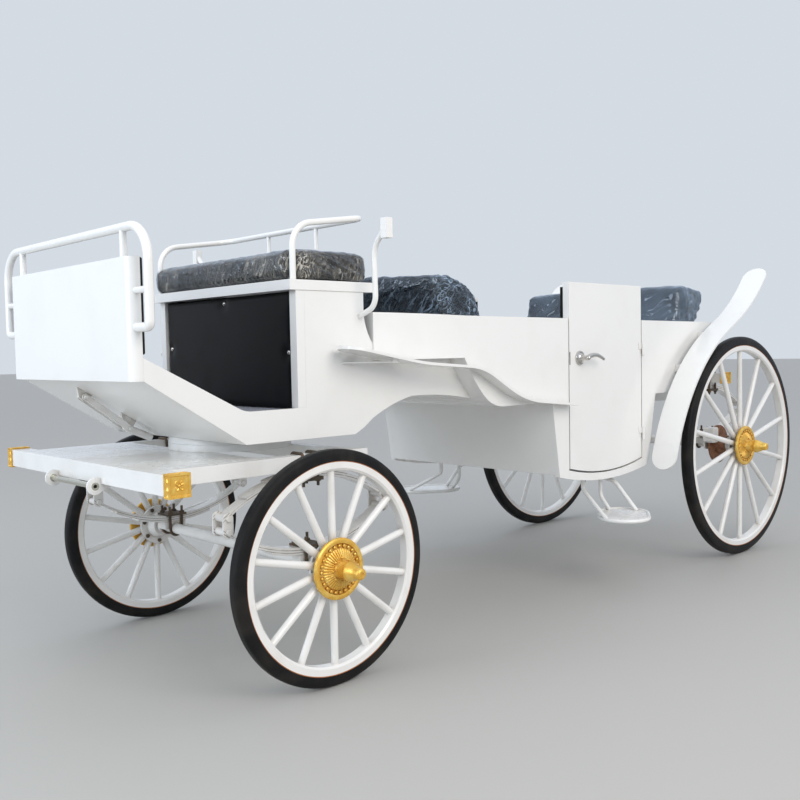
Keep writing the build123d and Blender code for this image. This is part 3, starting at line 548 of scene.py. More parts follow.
def tube(path, radius, normal, count=12, flat=1.0):
    """A closed bar along the path: each ring is path + radius·(cos a·side + flat·sin a·other), where side
    is the path's direction crossed with normal, and other is square to both."""
    path = np.array(path, float)
    ahead = np.gradient(path, axis=0)
    ahead /= np.linalg.norm(ahead, axis=1, keepdims=True)
    side = np.cross(ahead, normal)
    side /= np.linalg.norm(side, axis=1, keepdims=True)
    other = np.cross(side, ahead)
    size = np.broadcast_to(np.array(radius, float), len(path))[:, None, None]
    angle = np.linspace(0, TURN, count, endpoint=False)[None, :, None]
    rings = path[:, None] + size * (np.cos(angle) * side[:, None] + flat * np.sin(angle) * other[:, None])
    ends = [np.repeat(path[at][None, None], count, axis=1) for at in (0, -1)]
    return np.concatenate([ends[0], rings, ends[1]]), grid_faces(len(path) + 2, count, False, True)


def slab(low, high):
    """A box between two corners."""
    pick = np.array([(x, y, z) for x in (0, 1) for y in (0, 1) for z in (0, 1)])
    faces = np.array([(0, 1, 3, 2), (4, 6, 7, 5), (0, 4, 5, 1), (2, 3, 7, 6), (0, 2, 6, 4), (1, 5, 7, 3)])
    return np.where(pick, high, low).astype(float), faces


def clamp(corners, plane, offsets, bend, nut_z, nut_way):
    """U-bolts of one shape at each of the offsets along the plane's axis, with a nut on both legs of each."""
    parts = []
    axis = np.eye(3)["XYZ".index(plane)]
    for offset in offsets:
        path = bent(corners, bend) + axis * offset
        parts.append(tube(path, ROD_R, axis))
        for leg in (path[0], path[-1]):
            parts.append(hexagon((leg[0], leg[1], nut_z), "Z", NUT_R, nut_way * NUT_H))
    return parts


def spring_fittings(end):
    """The clamps and their plates, and then the shackle bolts, of the left spring at one end. The lower
    clamps hold the axle; the upper ones hold the deck's rail in front and the cross beam at the back."""
    low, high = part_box(f"{end}_springs")
    y = middle(f"tyre_{end}_left")[1]
    axle_z = middle(f"tyre_{end}_left")[2]
    plate_z = low.z + LEAF_PACK
    leg = AXLE_R + ROD_R
    parts = [slab((SPRING_X - PLATE_HALF, y - SADDLE_HALF, plate_z),
                  (SPRING_X + PLATE_HALF, y + SADDLE_HALF, plate_z + SADDLE_T))]
    rod_top = plate_z + SADDLE_T + ROD_PAST_LOWER
    lower = [(0, y + leg, rod_top), (0, y + leg, axle_z - leg),
             (0, y - leg, axle_z - leg), (0, y - leg, rod_top)]
    offsets = (SPRING_X - ROD_X, SPRING_X + ROD_X)
    parts += clamp(lower, "X", offsets, leg - 0.0005, plate_z + SADDLE_T, 1)
    pack_low = high.z - LEAF_PACK
    saddle_low = pack_low - SADDLE_T - SADDLE_SUNK
    rod_low = pack_low - SADDLE_T - ROD_PAST_UPPER
    if end == "front":
        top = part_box("deck_frame")[1].z + ROD_R
        inner, outer = offsets
        upper = [(inner, 0, rod_low), (inner, 0, top), (outer, 0, top), (outer, 0, rod_low)]
        parts += clamp(upper, "Y", (y - ROD_Y, y + ROD_Y), ROD_BEND, pack_low - SADDLE_T, -1)
        saddle = (y - SADDLE_FRONT, y + SADDLE_FRONT)
    else:
        beam_low, beam_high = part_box("rear_beam_caps")
        away = ROD_R + ROD_GAP - BEAM_IN_CAP
        front, back = beam_low.y - away, beam_high.y + away
        top = beam_high.z - BEAM_IN_CAP + ROD_R
        upper = [(0, front, rod_low), (0, front, top), (0, back, top), (0, back, rod_low)]
        parts += clamp(upper, "X", offsets, ROD_BEND, saddle_low, -1)
        saddle = (front - SADDLE_LIP, back + SADDLE_LIP)
    parts.append(slab((SPRING_X - SADDLE_HALF, saddle[0], saddle_low),
                      (SPRING_X + SADDLE_HALF, saddle[1], pack_low)))
    half = extent(f"{end}_springs")[1] / 2 - SHACKLE_HALF
    eye_z = (low.z + high.z) / 2
    bolts = []
    for eye_y in (y - half, y + half):
        for z in (eye_z - EYE_GAP, eye_z + EYE_GAP):
            for way in (-1, 1):
                bolts.append(hexagon((SPRING_X + way * SHACKLE_OUT, eye_y, z), "X", SHACKLE_BOLT_R,
                                     way * SHACKLE_BOLT_H))
    return parts, bolts


painted(["front_axle", "rear_axle"], gear_paint)
for end in ENDS:
    painted([f"{end}_springs"], leaf_paint(end))
    fittings, bolts = spring_fittings(end)
    body = "front_gear" if end == "front" else "body"
    for side, sign in SIDES.items():
        made(f"spring_clamps_{end}_{side}", body, brown_iron, on_side(fittings, sign))
        made(f"shackle_bolts_{end}_{side}", body, gear_paint, on_side(bolts, sign))

# Front gear. A deck of square tube with thin plates behind the front bar, the pole fitting below it and
# the turning ring on top, all sprayed white; the bar's ends carry cast gold caps with a four-petalled flower.
DECK_WHITE = (0.80, 0.80, 0.785, 1.0)
ZINC = (0.50, 0.49, 0.42, 1.0)
PIPE_R = 0.0125
LUG_R = 0.027
CAP_RELIEF = 0.0035
CAP_DEPTH = 0.030
CAP_STEPS = 49
CAP_SIDE_STEPS = 21


def pole_paint():
    """The deck's white, with bare zinc within PIPE_R of the pipe's axis, which is LUG_R from the piece's low
    corner in Y and in Z."""
    material = white_paint("pole_fitting_paint", DECK_WHITE, 0.18, 0.7, 0.48, 0.75)
    tree = material.node_tree
    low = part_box("pole_bracket")[0]
    place = place_of(tree)
    along = sum_of(tree, "SUBTRACT", place["Y"], low.y + LUG_R)
    up = sum_of(tree, "SUBTRACT", place["Z"], low.z + LUG_R)
    bare = sum_of(tree, "LESS_THAN", far_of(tree, along, up), PIPE_R)
    shader = covered(material, bare, ZINC)
    tree.links.new(times(tree, bare, 0.85), shader.inputs["Metallic"])
    return material


def smooth_step(low, high, value):
    """0 below low, 1 above high, and 3t² - 2t³ between them."""
    share = np.clip((value - low) / (high - low), 0, 1)
    return share * share * (3 - 2 * share)


def flower_height(u, v):
    """From 0 in the sunk field to 1 at the border, the boss and four petals that reach 0.5·|cos 2a|^0.4 on
    the diagonals; each petal is hollowed along its middle. u and v run from -1 to 1 over the face."""
    edge = np.maximum(np.abs(u), np.abs(v))
    border = smooth_step(0.76, 0.84, edge)
    out, angle = np.hypot(u, v), np.arctan2(v, u)
    lobe = np.abs(np.cos(2 * (angle - np.pi / 4)))
    petals = smooth_step(0, 0.09, 0.50 * lobe**0.4 - out) * (0.55 + 0.45 * smooth_step(0.14, 0.42, out))
    hollow = 0.55 * np.exp(-((1 - lobe) / 0.10) ** 2)
    hollow = hollow * smooth_step(0.16, 0.26, out) * smooth_step(0.46, 0.36, out)
    boss = np.sqrt(np.clip(1 - (out / 0.15) ** 2, 0, 1))
    ring_gap = smooth_step(0.15, 0.18, out)
    return np.clip(np.maximum(np.maximum(border, (petals - hollow) * ring_gap), boss), 0, 1)


def row_height(u, v):
    """The same relief for a narrow side: a border, and a column of three lozenges with a boss in each."""
    border = np.maximum(smooth_step(0.62, 0.78, np.abs(u)), smooth_step(0.82, 0.88, np.abs(v)))
    step = (1.9 * v) % 1.27 - 0.635
    lozenge = smooth_step(0, 0.25, 0.62 - np.abs(u) * 1.2 - np.abs(step))
    boss = np.sqrt(np.clip(1 - (u / 0.28) ** 2 - (step / 0.20) ** 2, 0, 1))
    return np.clip(np.maximum(border, np.maximum(0.6 * lozenge, boss)), 0, 1)


def cast_cap(low, high):
    """Six grids on the faces of a box, each point sunk by CAP_RELIEF·(1 - height) along its face's normal;
    the inner face is plain."""
    wide = np.linspace(-1, 1, CAP_STEPS)
    thin = np.linspace(-1, 1, CAP_SIDE_STEPS)
    half = (np.array(high) - low) / 2
    centre = (np.array(high) + low) / 2
    parts = []
    for axis, way, steps_u, steps_v, height in (
            (0, 1, wide, wide, flower_height), (0, -1, wide, wide, None), (1, 1, thin, wide, row_height),
            (1, -1, thin, wide, row_height), (2, 1, thin, wide, row_height), (2, -1, thin, wide, row_height)):
        u, v = np.meshgrid(steps_u, steps_v, indexing="ij")
        others = [other for other in range(3) if other != axis]
        points = np.zeros((*u.shape, 3))
        points[..., others[0]] = u * half[others[0]]
        points[..., others[1]] = v * half[others[1]]
        sunk = CAP_RELIEF * (1 - height(u, v)) if height else 0.0
        points[..., axis] = way * (half[axis] - sunk)
        parts.append((points + centre, grid_faces(*u.shape)))
    return parts


# The last share darkens the deck's level tops: dust, and painted shade under the body.
deck_paint = white_paint("deck_paint", DECK_WHITE, 0.18, 0.7, 0.48, 0.75, 0.3)
painted(["deck_frame", "deck_plates", "turntable_lower", "turntable_upper"], deck_paint)
painted(["pole_bracket"], pole_paint())
for caps, body in (("deck_caps", "front_gear"), ("rear_beam_caps", "body")):
    low, high = (np.array(corner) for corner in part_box(caps))
    shell = cast_cap((high[0] - CAP_DEPTH, low[1], low[2]), high)
    made(f"{caps}_cast", body, gold, on_side(shell, 1) + on_side(shell, -1), replaces=[caps])

# Driver's box. Flat steel sides, a dash and a sloping footboard, filled, rubbed down and sprayed a warm
# white; a grey carpet lies on the floor, and a turned peg stands on the outside of the right-hand side.
BODY_WHITE = (0.84, 0.835, 0.815, 1.0)
CARPET = (0.17, 0.19, 0.25, 1.0)
CARPET_DARK = (0.10, 0.115, 0.155, 1.0)
CARPET_LIGHT = (0.27, 0.30, 0.38, 1.0)
FRONT_Y = middle("front_axle")[1]
PEG_PLACE = (-0.440, FRONT_Y - 0.003, 1.077)
PEG = [(0, 0), (0, 0.006), (-0.016, 0.006), (-0.018, 0.009), (-0.026, 0.009), (-0.028, 0.006), (-0.028, 0)]


def carpet_pile():
    """Short grey-blue pile: a fine noise breaks up the colour and stands up the surface."""
    material, tree, shader = finish_of("carpet", CARPET, 0.95)
    tuft = cloud(tree, 600.0, 3.0, 0.35, 0.65)
    tree.links.new(mixed(tree, tuft, CARPET_DARK, CARPET_LIGHT), shader.inputs["Base Color"])
    shader.inputs["Sheen Weight"].default_value = 0.3
    bumped(tree, shader, tuft, 0.0015, 0.8)
    return material


body_paint = white_paint("body_paint", BODY_WHITE, 0.05, 0.35)
painted(["driver_box_sides", "footboard", "dash", "seat_frame"], body_paint)
painted(["driver_floor"], carpet_pile())
made("apron_peg", "body", body_paint, [turned(PEG, PEG_PLACE, "X", 20)])

# Black panels. Leathercloth over thin foam on board: one below the driver's seat, held by three chrome
# studs, and one on the back of the dash.
LEATHER_BLACK = (0.007, 0.007, 0.008, 1.0)
LEATHER_DULL = (0.015, 0.014, 0.012, 1.0)
CHROME = (0.56, 0.54, 0.51, 1.0)
PANEL_STEPS = 96
PANEL_EDGE = 0.004
PANEL_ROLL = 0.022
PANEL_T = 0.012
DIMPLE_R = 0.022
DIMPLE_DEEP = 0.6
STUD_SUNK = 0.45
STUD_R = 0.0085
STUD = [(0, 0), (0, STUD_R), (-0.002, STUD_R), (-0.0045, 0.8 * STUD_R), (-0.006, 0.45 * STUD_R), (-0.0065, 0)]
# Where the studs are: x and z
STUDS = [(0.0, 1.252), (-0.378, 1.094), (0.382, 1.072)]
LINER_LOW = 1.072
LINER_T = 0.012
LINER_ROLL = 0.008
LINER_IN = 0.003
LINER_GAP = 0.0003


def leathercloth(name, roughness, grain):
    """Black coated cloth: a Voronoi grain of fine pebbles, with slow changes of sheen."""
    material, tree, shader = finish_of(name, LEATHER_BLACK, roughness)
    place = node(tree, "ShaderNodeTexCoord").outputs["Object"]
    pebble = node(tree, "ShaderNodeTexVoronoi", {"Vector": place, "Scale": grain}, feature="SMOOTH_F1")
    slow = cloud(tree, 14.0, 4.0, 0.35, 0.7)
    colour = mixed(tree, times(tree, slow, 0.5), LEATHER_BLACK, LEATHER_DULL)
    tree.links.new(colour, shader.inputs["Base Color"])
    rough_by(tree, shader, slow, roughness - 0.06, roughness + 0.12)
    shader.inputs["Specular IOR Level"].default_value = 0.14
    bumped(tree, shader, pebble.outputs["Distance"], 0.0004, 0.35)
    return material


def pillow(low, high, plane, way, thick, roll, dimples=()):
    """A flat pad as two skins over a rectangle in X and Z, from low to high, at y = plane: the front stands
    out to way by thick·√(1 - (1 - d/roll)²), where d is the distance to the nearest edge, less a dent of
    the share DIMPLE_DEEP·exp(-(r/DIMPLE_R)²) at each dimple."""
    spread = np.sin(np.linspace(-np.pi / 2, np.pi / 2, PANEL_STEPS))
    width, height = high[0] - low[0], high[1] - low[1]
    u, v = np.meshgrid(spread * width / 2, spread * height / 2, indexing="ij")
    x, z = u + (low[0] + high[0]) / 2, v + (low[1] + high[1]) / 2
    edge = np.minimum(width / 2 - np.abs(u), height / 2 - np.abs(v))
    out = thick * np.sqrt(np.clip(1 - np.clip(1 - edge / roll, 0, 1) ** 2, 0, 1))
    for at_x, at_z in dimples:
        out -= DIMPLE_DEEP * out * np.exp(-((x - at_x) ** 2 + (z - at_z) ** 2) / DIMPLE_R**2)
    faces = grid_faces(PANEL_STEPS, PANEL_STEPS)
    return [(np.stack([x, plane + way * skin, z], -1), faces) for skin in (out, 0 * out)]


panel_leather = leathercloth("black_panel", 0.34, 900.0)
chrome, chrome_tree, chrome_shader = finish_of("chrome", CHROME, 0.1, 1.0)
rough_by(chrome_tree, chrome_shader, cloud(chrome_tree, 90.0, 5.0, 0.4, 0.8), 0.06, 0.22)
low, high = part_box("seat_front_panel")
edge = PANEL_EDGE / 2
front_y = low.y + PANEL_T
skins = pillow((low.x + edge, low.z + edge), (high.x - edge, high.z - edge), front_y, -1,
               PANEL_T, PANEL_ROLL, STUDS)
panel = made("seat_front_pad", "body", panel_leather, skins, 50.0, ["seat_front_panel"])
studs = [turned(STUD, (x, front_y - STUD_SUNK * PANEL_T, z), "Y", 20) for x, z in STUDS]
made("panel_studs", "body", chrome, studs, 60.0)

low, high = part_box("dash")
skins = pillow((low.x + LINER_IN, LINER_LOW + edge), (high.x - LINER_IN, high.z - edge),
               high.y + LINER_GAP, 1, LINER_T, LINER_ROLL)
made("dash_liner", "body", panel_leather, skins, 50.0)

# Rails and lamp brackets. Round tube, bent and welded on, sprayed with the body. Each lamp holder is a
# square tube with a set screw.
SCREW = [(0, 0), (0, 0.004), (0.007, 0.004), (0.008, 0.003), (0.008, 0)]
# How far the screw sits in from the left bracket's upper corner
SCREW_IN = (0.009, 0.0145, 0.030)
painted(["seat_guard_rail", "dash_rail", "lamp_brackets"], body_paint)
screw = [turned(SCREW, np.array(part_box("lamp_brackets")[1]) - SCREW_IN, "X", 16)]
for side, sign in SIDES.items():
    made(f"lamp_screw_{side}", "body", brown_iron, on_side(screw, sign))

# Tub and doors. Flat sheet sides; each door is a white outer tray with a black board let into its inner
# half, and has a chrome lever on a round rose; a thin near-black plate at its front edge is painted shade for
# the latch slot.
DOOR_SPLIT_X = 0.489
DOOR_RIM = 0.020
DOOR_FACE = 0.520
# The board's two faces, its ends back from the door's front edge, and its ends down from the door's top
BOARD_X = (0.473, 0.4858)
BOARD_BACK = (0.002, 0.500)
BOARD_DOWN = (0.71, DOOR_RIM)
LATCH_SLOT_SHADE = (0.03, 0.025, 0.02, 1.0)
# The plate of painted shade for the latch slot: out from the door's face, back from its front edge, and up
# from the lever's axis
LATCH_OUT = (0.0002, 0.0009)
LATCH_BACK = (0.0008, 0.0052)
LATCH_UP = (-0.028, 0.026)
LEVER_STEPS = 29
LEVER_BACK = 0.026
LEVER_OUT = 0.046
LEVER_LONG = 0.122
LEVER_R = 0.0112
LEVER_THINS = 0.0048
# The rose and the neck: how far each point stands out from the door, and its radius
ROSE = [(0, 0), (0, 0.0305), (0.004, 0.031), (0.007, 0.0295), (0.0085, 0.0245), (0.0065, 0.0225),
        (0.009, 0.0205), (0.0135, 0.0175), (0.0155, 0.0125), (0.030, 0.0100), (0.044, 0.0110),
        (0.052, 0.0095), (0.056, 0.005), (0.057, 0)]


def door_paint(top):
    """White paint outside; black board where the distance from the middle plane is under DOOR_SPLIT_X and
    the height is under the door's top less DOOR_RIM."""
    material = white_paint("door_paint", BODY_WHITE, 0.05, 0.35)
    tree = material.node_tree
    white = tree.nodes["Principled BSDF"]
    board = node(tree, "ShaderNodeBsdfPrincipled", {"Base Color": LEATHER_BLACK, "Roughness": 0.4})
    board.inputs["Specular IOR Level"].default_value = 0.14
    place = place_of(tree)
    inner = sum_of(tree, "LESS_THAN", sum_of(tree, "ABSOLUTE", place["X"]), DOOR_SPLIT_X)
    under = sum_of(tree, "LESS_THAN", place["Z"], top - DOOR_RIM)
    share = times(tree, inner, under)
    both = node(tree, "ShaderNodeMixShader", {0: share, 1: white.outputs[0], 2: board.outputs[0]})
    tree.links.new(both.outputs[0], tree.nodes["Material Output"].inputs["Surface"])
    return material


def lever(y, z):
    """A rose and neck turned about X, and a lever whose path rises, runs back and droops while it thins."""
    t = np.linspace(0, 1, LEVER_STEPS)
    path = np.stack([DOOR_FACE + LEVER_OUT + 0.004 * np.sin(np.pi * t), y - 0.004 + LEVER_LONG * t,
                     z + 0.013 * np.sin(np.pi * t**0.8) - 0.010 * t**2], -1)
    size = LEVER_R - LEVER_THINS * t
    size[-1] *= 0.6
    return [turned(ROSE, (DOOR_FACE, y, z), "X", 40), tube(path, size, (1, 0, 0), 20, 0.75)]


painted(["front_quarters", "rear_quarters", "front_wall", "back_panel", "benches", "belly", "foot_well"],
        body_paint)
low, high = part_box("door_left")
painted(["door_left", "door_right"], door_paint(high.z))
board = [slab(*((x, low.y + back, high.z - down)
                for x, back, down in zip(BOARD_X, BOARD_BACK, BOARD_DOWN)))]
lever_low, lever_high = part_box("door_handle_left")
lever_y, lever_z = lever_low.y + LEVER_BACK, lever_high.z - LEVER_BACK
latch = [slab(*((DOOR_FACE + out, low.y + along, lever_z + up)
                for out, along, up in zip(LATCH_OUT, LATCH_BACK, LATCH_UP)))]
# Near black: the painted shade of the latch slot.
latch_slot_shade = finish_of("latch_slot_shade", LATCH_SLOT_SHADE, 0.6)[0]
for side, sign in SIDES.items():
    made(f"door_board_{side}", f"door_{side}", panel_leather, on_side(board, sign))
for side, sign in SIDES.items():
    made(f"door_latch_slot_shade_{side}", f"door_{side}", latch_slot_shade, on_side(latch, sign))
    made(f"door_lever_{side}", f"door_{side}", chrome, on_side(lever(lever_y, lever_z), sign), 40.0,
         [f"door_handle_{side}"])

# Mudguards and steps. Mudguards of bent sheet with round ends; oval step plates in a round rim, hung on
# bent bars, which carry the dust of boots.
painted(["front_mudguards", "rear_mudguards"], body_paint)
painted(["steps"], deck_paint)

# Rear frame and brake linkage. Square tube under the tub and flat bars under the footboard, sprayed white
# over bare welds.
painted(["rear_frame", "brake_linkage"], gear_paint)

# Cushions. Foam in black leathercloth: two seat cushions and two backs for the passengers, and the
# driver's cushion, which with the two backs is still in clear film. Pressure swells each one in its cover.
PAD_STEPS = (81, 72)
# What a cushion may stand out past its block, and what it starts below the block's top
PAD_SPARE = 0.004
PAD_PRESSURE = 4.0
PAD_FRAMES = 20
# The driver's cushion is cut back at its front where the rail's left post stands
NOTCH_DEEP = 0.036
NOTCH_X = (0.396, 0.417)
# The front seat back is bent about an upright axis: its place along the carriage, and the two arcs' radii;
# its ends lean forward at the top, and drop
CURVE_Y = FRONT_Y + 1.370
CURVE_OUT = 0.870
CURVE_IN = 0.714
CURVE_LEAN = 0.060
CURVE_DROP = 0.010
# The rear seat back leans: y of its two faces at its foot and at its top, and z of its foot and of both tops
REAR_NEAR_Y = (FRONT_Y + 2.236, FRONT_Y + 2.342)
REAR_FAR_Y = (FRONT_Y + 2.384, FRONT_Y + 2.594)
REAR_FOOT_Z = 1.018
REAR_TOP_Z = (1.374, 1.344)


def pad_shell(half, close, squareness, place):
    """A superellipse in (s, h), from 0 to 1 each, carried from -half to half along X, and drawn in to its
    middle over the last stretch close as (1 - q^4)^(1/4). place turns x, s and h into points."""
    x = half * np.sin(np.linspace(-np.pi / 2, np.pi / 2, PAD_STEPS[0]))[:, None]
    angle = np.linspace(0, TURN, PAD_STEPS[1], endpoint=False)[None]
    power = 2 / squareness
    s = np.sign(np.cos(angle)) * np.abs(np.cos(angle)) ** power / 2
    h = np.sign(np.sin(angle)) * np.abs(np.sin(angle)) ** power / 2
    past = np.clip((np.abs(x) - half + close) / close, 0, 1)
    drawn = (1 - past**4) ** (1 / 4)
    return place(x + 0 * s, 0.5 + drawn * s, 0.5 + drawn * h), grid_faces(*PAD_STEPS, False, True)


def as_shaped(piece):
    """A mesh of the piece as its modifiers leave it."""
    graph = bpy.context.evaluated_depsgraph_get()
    return bpy.data.meshes.new_from_object(piece.evaluated_get(graph))


def rows_of(items, key):
    """Three numbers of each item, a row for each."""
    rows = np.zeros(len(items) * 3)
    items.foreach_get(key, rows)
    return rows.reshape(-1, 3)


def swollen(piece, cap, cell):
    """The piece's points after it is remeshed in cells of one size and swollen as cloth under pressure, with
    each point's way kept under cap."""
    even = piece.modifiers.new("even", "REMESH")
    even.mode = "VOXEL"
    even.voxel_size = cell
    mesh = as_shaped(piece)
    material = piece.data.materials[0]
    piece.modifiers.clear()
    piece.data = mesh
    mesh.materials.clear()
    mesh.materials.append(material)
    rest = rows_of(mesh.vertices, "co")
    cloth = piece.modifiers.new("cloth", "CLOTH")
    cloth.settings.use_pressure = True
    cloth.settings.uniform_pressure_force = PAD_PRESSURE
    cloth.settings.effector_weights.gravity = 0.0
    for step in range(1, PAD_FRAMES + 1):
        bpy.context.scene.frame_set(step)
    way = rows_of(as_shaped(piece).vertices, "co") - rest
    piece.modifiers.clear()
    bpy.context.scene.frame_set(1)
    far = np.linalg.norm(way, axis=1, keepdims=True)
    rest += way * np.minimum(1, cap / np.maximum(far, 1e-9))
    return rest


def settled(piece, points):
    """Puts the points back and gives the piece one subdivision."""
    piece.data.vertices.foreach_set("co", np.ascontiguousarray(points).ravel())
    piece.data.update()
    finer = piece.modifiers.new("finer", "SUBSURF")
    finer.levels = finer.render_levels = 1
    mesh = as_shaped(piece)
    piece.modifiers.clear()
    piece.data = mesh
    mesh.shade_smooth()


def between(low, high, share):
    """low at 0, high at 1."""
    return low + (high - low) * share


def driver_place(x, s, h):
    """A block that overhangs the tube a little at its front and back, and is notched for the left post."""
    low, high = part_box("driver_cushion")
    front = low.y - PAD_SPARE + NOTCH_DEEP * smooth_step(*NOTCH_X, x)
    return np.stack([x, between(front, high.y + PAD_SPARE, s), between(low.z, high.z - PAD_SPARE, h)], -1)


def front_back_place(x, s, h):
    """Between two arcs about CURVE_Y. The passengers' side falls away to the top by 0.74·h^5.5 of the
    thickness, and above the tub's edge the driver's side leans forward at both ends."""
    low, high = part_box("front_seat_back")
    near, far = CURVE_Y - np.sqrt(CURVE_OUT**2 - x**2), CURVE_Y - np.sqrt(CURVE_IN**2 - x**2)
    end = (x / high.x) ** 2
    y = between(near, far, s * (1 - 0.74 * h**5.5)) - CURVE_LEAN * end * smooth_step(0.5, 0.95, h) * (1 - s)
    return np.stack([x, y, between(low.z, high.z - CURVE_DROP * end, h)], -1)


def rear_back_place(x, s, h):
    """A leaning pad: its two faces run from the cushion up to the top edge."""
    near, far = between(*REAR_NEAR_Y, h), between(*REAR_FAR_Y, h)
    return np.stack([x, between(near, far, s), between(REAR_FOOT_Z, between(*REAR_TOP_Z, s), h)], -1)


def seat_place(name):
    """The place function of a passengers' seat cushion, from its box."""
    low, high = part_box(name)
    return lambda x, s, h: np.stack([x, between(low.y, high.y, s), between(low.z, high.z, h)], -1)


PADS = [
    # name, half width, the stretch over which its ends close, squareness, swelling, cell, place
    ("driver_cushion", 0.449, 0.035, 6.0, 0.006, 0.008, driver_place),
    ("front_seat_back", 0.484, 0.022, 7.0, 0.008, 0.0095, front_back_place),
    ("rear_seat_back", 0.484, 0.022, 8.0, 0.008, 0.012, rear_back_place),
    ("front_seat_cushion", 0.474, 0.040, 6.0, 0.008, 0.016, seat_place("front_seat_cushion")),
    ("rear_seat_cushion", 0.474, 0.040, 6.0, 0.008, 0.016, seat_place("rear_seat_cushion")),
]
cushion_leather = leathercloth("cushion_leather", 0.5, 500.0)
pads = {}
for name, half, close, squareness, cap, cell, place in PADS:
    piece = made(f"{name}_cover", "body", cushion_leather,
                 [pad_shell(half, close, squareness, place)], 180.0, [name])
    points = swollen(piece, cap, cell)
    points[:, 2] = np.maximum(points[:, 2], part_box(name)[0].z)
    points[:, 0] = np.clip(points[:, 0], -half - PAD_SPARE, half + PAD_SPARE)
    settled(piece, points)
    pads[name] = piece

# Clear film. The driver's cushion and the two seat backs still wear the thin plastic that they were packed
# in, pulled tight over the edges, creased on the faces and bunched at both ends. Painted highlights and a
# painted reflection lie over its real gloss.
FILM_GAP = 0.0016
FILM_TINT = (0.82, 0.90, 1.0, 1.0)
FILM_WARM_PAINTED_LIGHT = (0.90, 0.84, 0.72, 1.0)
FILM_BLUE_PAINTED_LIGHT = (0.56, 0.76, 1.0, 1.0)
FILM_LINE = 0.0005
FILM_WARP = 0.03
FILM_RELIEF = 0.30
FILM_BUNCHED = (0.36, 0.43)
# The roll at each front corner of the driver's film: its place across, its width and its length
ROLL_X = 0.405
ROLL_WIDE = 0.016
ROLL_LONG = 0.035


def crease_lines(tree, place, size):
    """Two noises cut at their middle value: height is the way from it, so that it has sharp valleys there,
    and line is 1 in a valley and 0 about FILM_LINE from it."""
    heights, lines = [], []
    for scale in (size, 2.3 * size):
        noise = node(tree, "ShaderNodeTexNoise", {"Vector": place, "Scale": scale, "Detail": 1.5})
        off = apart(tree, noise.outputs["Fac"], 0.5)
        heights.append(off)
        lines.append(ramp(tree, off, 0.0, FILM_LINE * scale, 1.0, 0.0))
    height = sum_of(tree, "MULTIPLY_ADD", heights[1], 0.45, heights[0])
    return height, times(tree, lines[0], times(tree, lines[1], 0.6), "ADD")


def clear_film(name, white, turn, squeeze, size, painted_reflection, lines, ends):
    """Clear where it is looked through and glossy by Fresnel. Its creases, size of them a metre, are turned
    and drawn out along the folds; along them a lit sheet of the colour white is mixed in as painted
    highlights, in patches, up to the share lines at the bunched ends and ends times that in the middle. A
    cloud noise mixes the same colour thinly over the rest as a painted reflection."""
    material, tree, shader = finish_of(name, white, 0.3)
    place = node(tree, "ShaderNodeTexCoord").outputs["Object"]
    warp = node(tree, "ShaderNodeTexNoise", {"Vector": place, "Scale": 9.0, "Detail": 3.0}).outputs["Color"]
    shift = {0: warp, 1: (FILM_WARP,) * 3, 2: place}
    place = node(tree, "ShaderNodeVectorMath", shift, operation="MULTIPLY_ADD").outputs[0]
    place = node(tree, "ShaderNodeMapping", {"Vector": place, "Rotation": turn}).outputs[0]
    place = node(tree, "ShaderNodeMapping", {"Vector": place, "Scale": squeeze}).outputs[0]
    height, thin = crease_lines(tree, place, size)
    bump = {"Height": height, "Distance": FILM_RELIEF / size, "Strength": 1.0}
    bump = node(tree, "ShaderNodeBump", bump).outputs[0]
    clear = node(tree, "ShaderNodeBsdfTransparent")
    gloss = node(tree, "ShaderNodeBsdfAnisotropic", {"Color": FILM_TINT, "Roughness": 0.05, "Normal": bump})
    share = node(tree, "ShaderNodeFresnel", {"IOR": 1.6, "Normal": bump}).outputs["Fac"]
    shiny = node(tree, "ShaderNodeMixShader", {0: share, 1: clear.outputs[0], 2: gloss.outputs[0]})
    out = sum_of(tree, "ABSOLUTE", place_of(tree)["X"])
    patch = times(tree, cloud(tree, 10.0, 2.0, 0.36, 0.62), ramp(tree, out, *FILM_BUNCHED, ends))
    # Painted highlights along the crease lines and a painted reflection in cloudy patches: the lit sheet of
    # the colour white is mixed over the film by this share.
    painted_highlight_share = times(tree, times(tree, times(tree, thin, patch), lines),
                 times(tree, cloud(tree, 5.0, 2.0, 0.2, 0.7), painted_reflection), "ADD")
    surface = node(tree, "ShaderNodeMixShader", {0: painted_highlight_share, 1: shiny.outputs[0], 2: shader.outputs[0]})
    tree.links.new(bump, shader.inputs["Normal"])
    tree.links.new(surface.outputs[0], tree.nodes["Material Output"].inputs["Surface"])
    return material


def folds(across, along, pitch, lean, spread, seed, waves=9):
    """Sharp folds: the sum of slanted saw-tooth waves, each cubed to a narrow ridge, with its own lean and
    pitch, bent by a slow wave and strong only in patches; scaled so that one point in fifty is over 1."""
    draw = np.random.default_rng(seed)
    height = np.zeros_like(across)
    for _ in range(waves):
        angle = lean + draw.normal(0, spread)
        size = pitch * draw.uniform(0.6, 1.9)
        way = across * np.cos(angle) + along * np.sin(angle)
        other = along * np.cos(angle) - across * np.sin(angle)
        bend = draw.uniform(0.1, 0.5) * np.sin(other * draw.uniform(10, 40) + draw.uniform(0, TURN))
        saw = 1 - np.abs(2 * ((way / size + bend + draw.uniform(0, 1)) % 1) - 1)
        patch = np.sin(across * draw.uniform(5, 22) + draw.uniform(0, TURN))
        patch *= np.sin(along * draw.uniform(5, 30) + other * draw.uniform(3, 14) + draw.uniform(0, TURN))
        height += saw**3 * np.clip(0.35 + patch, 0, 1)
    return np.minimum(height / np.percentile(height, 98), 1.3)


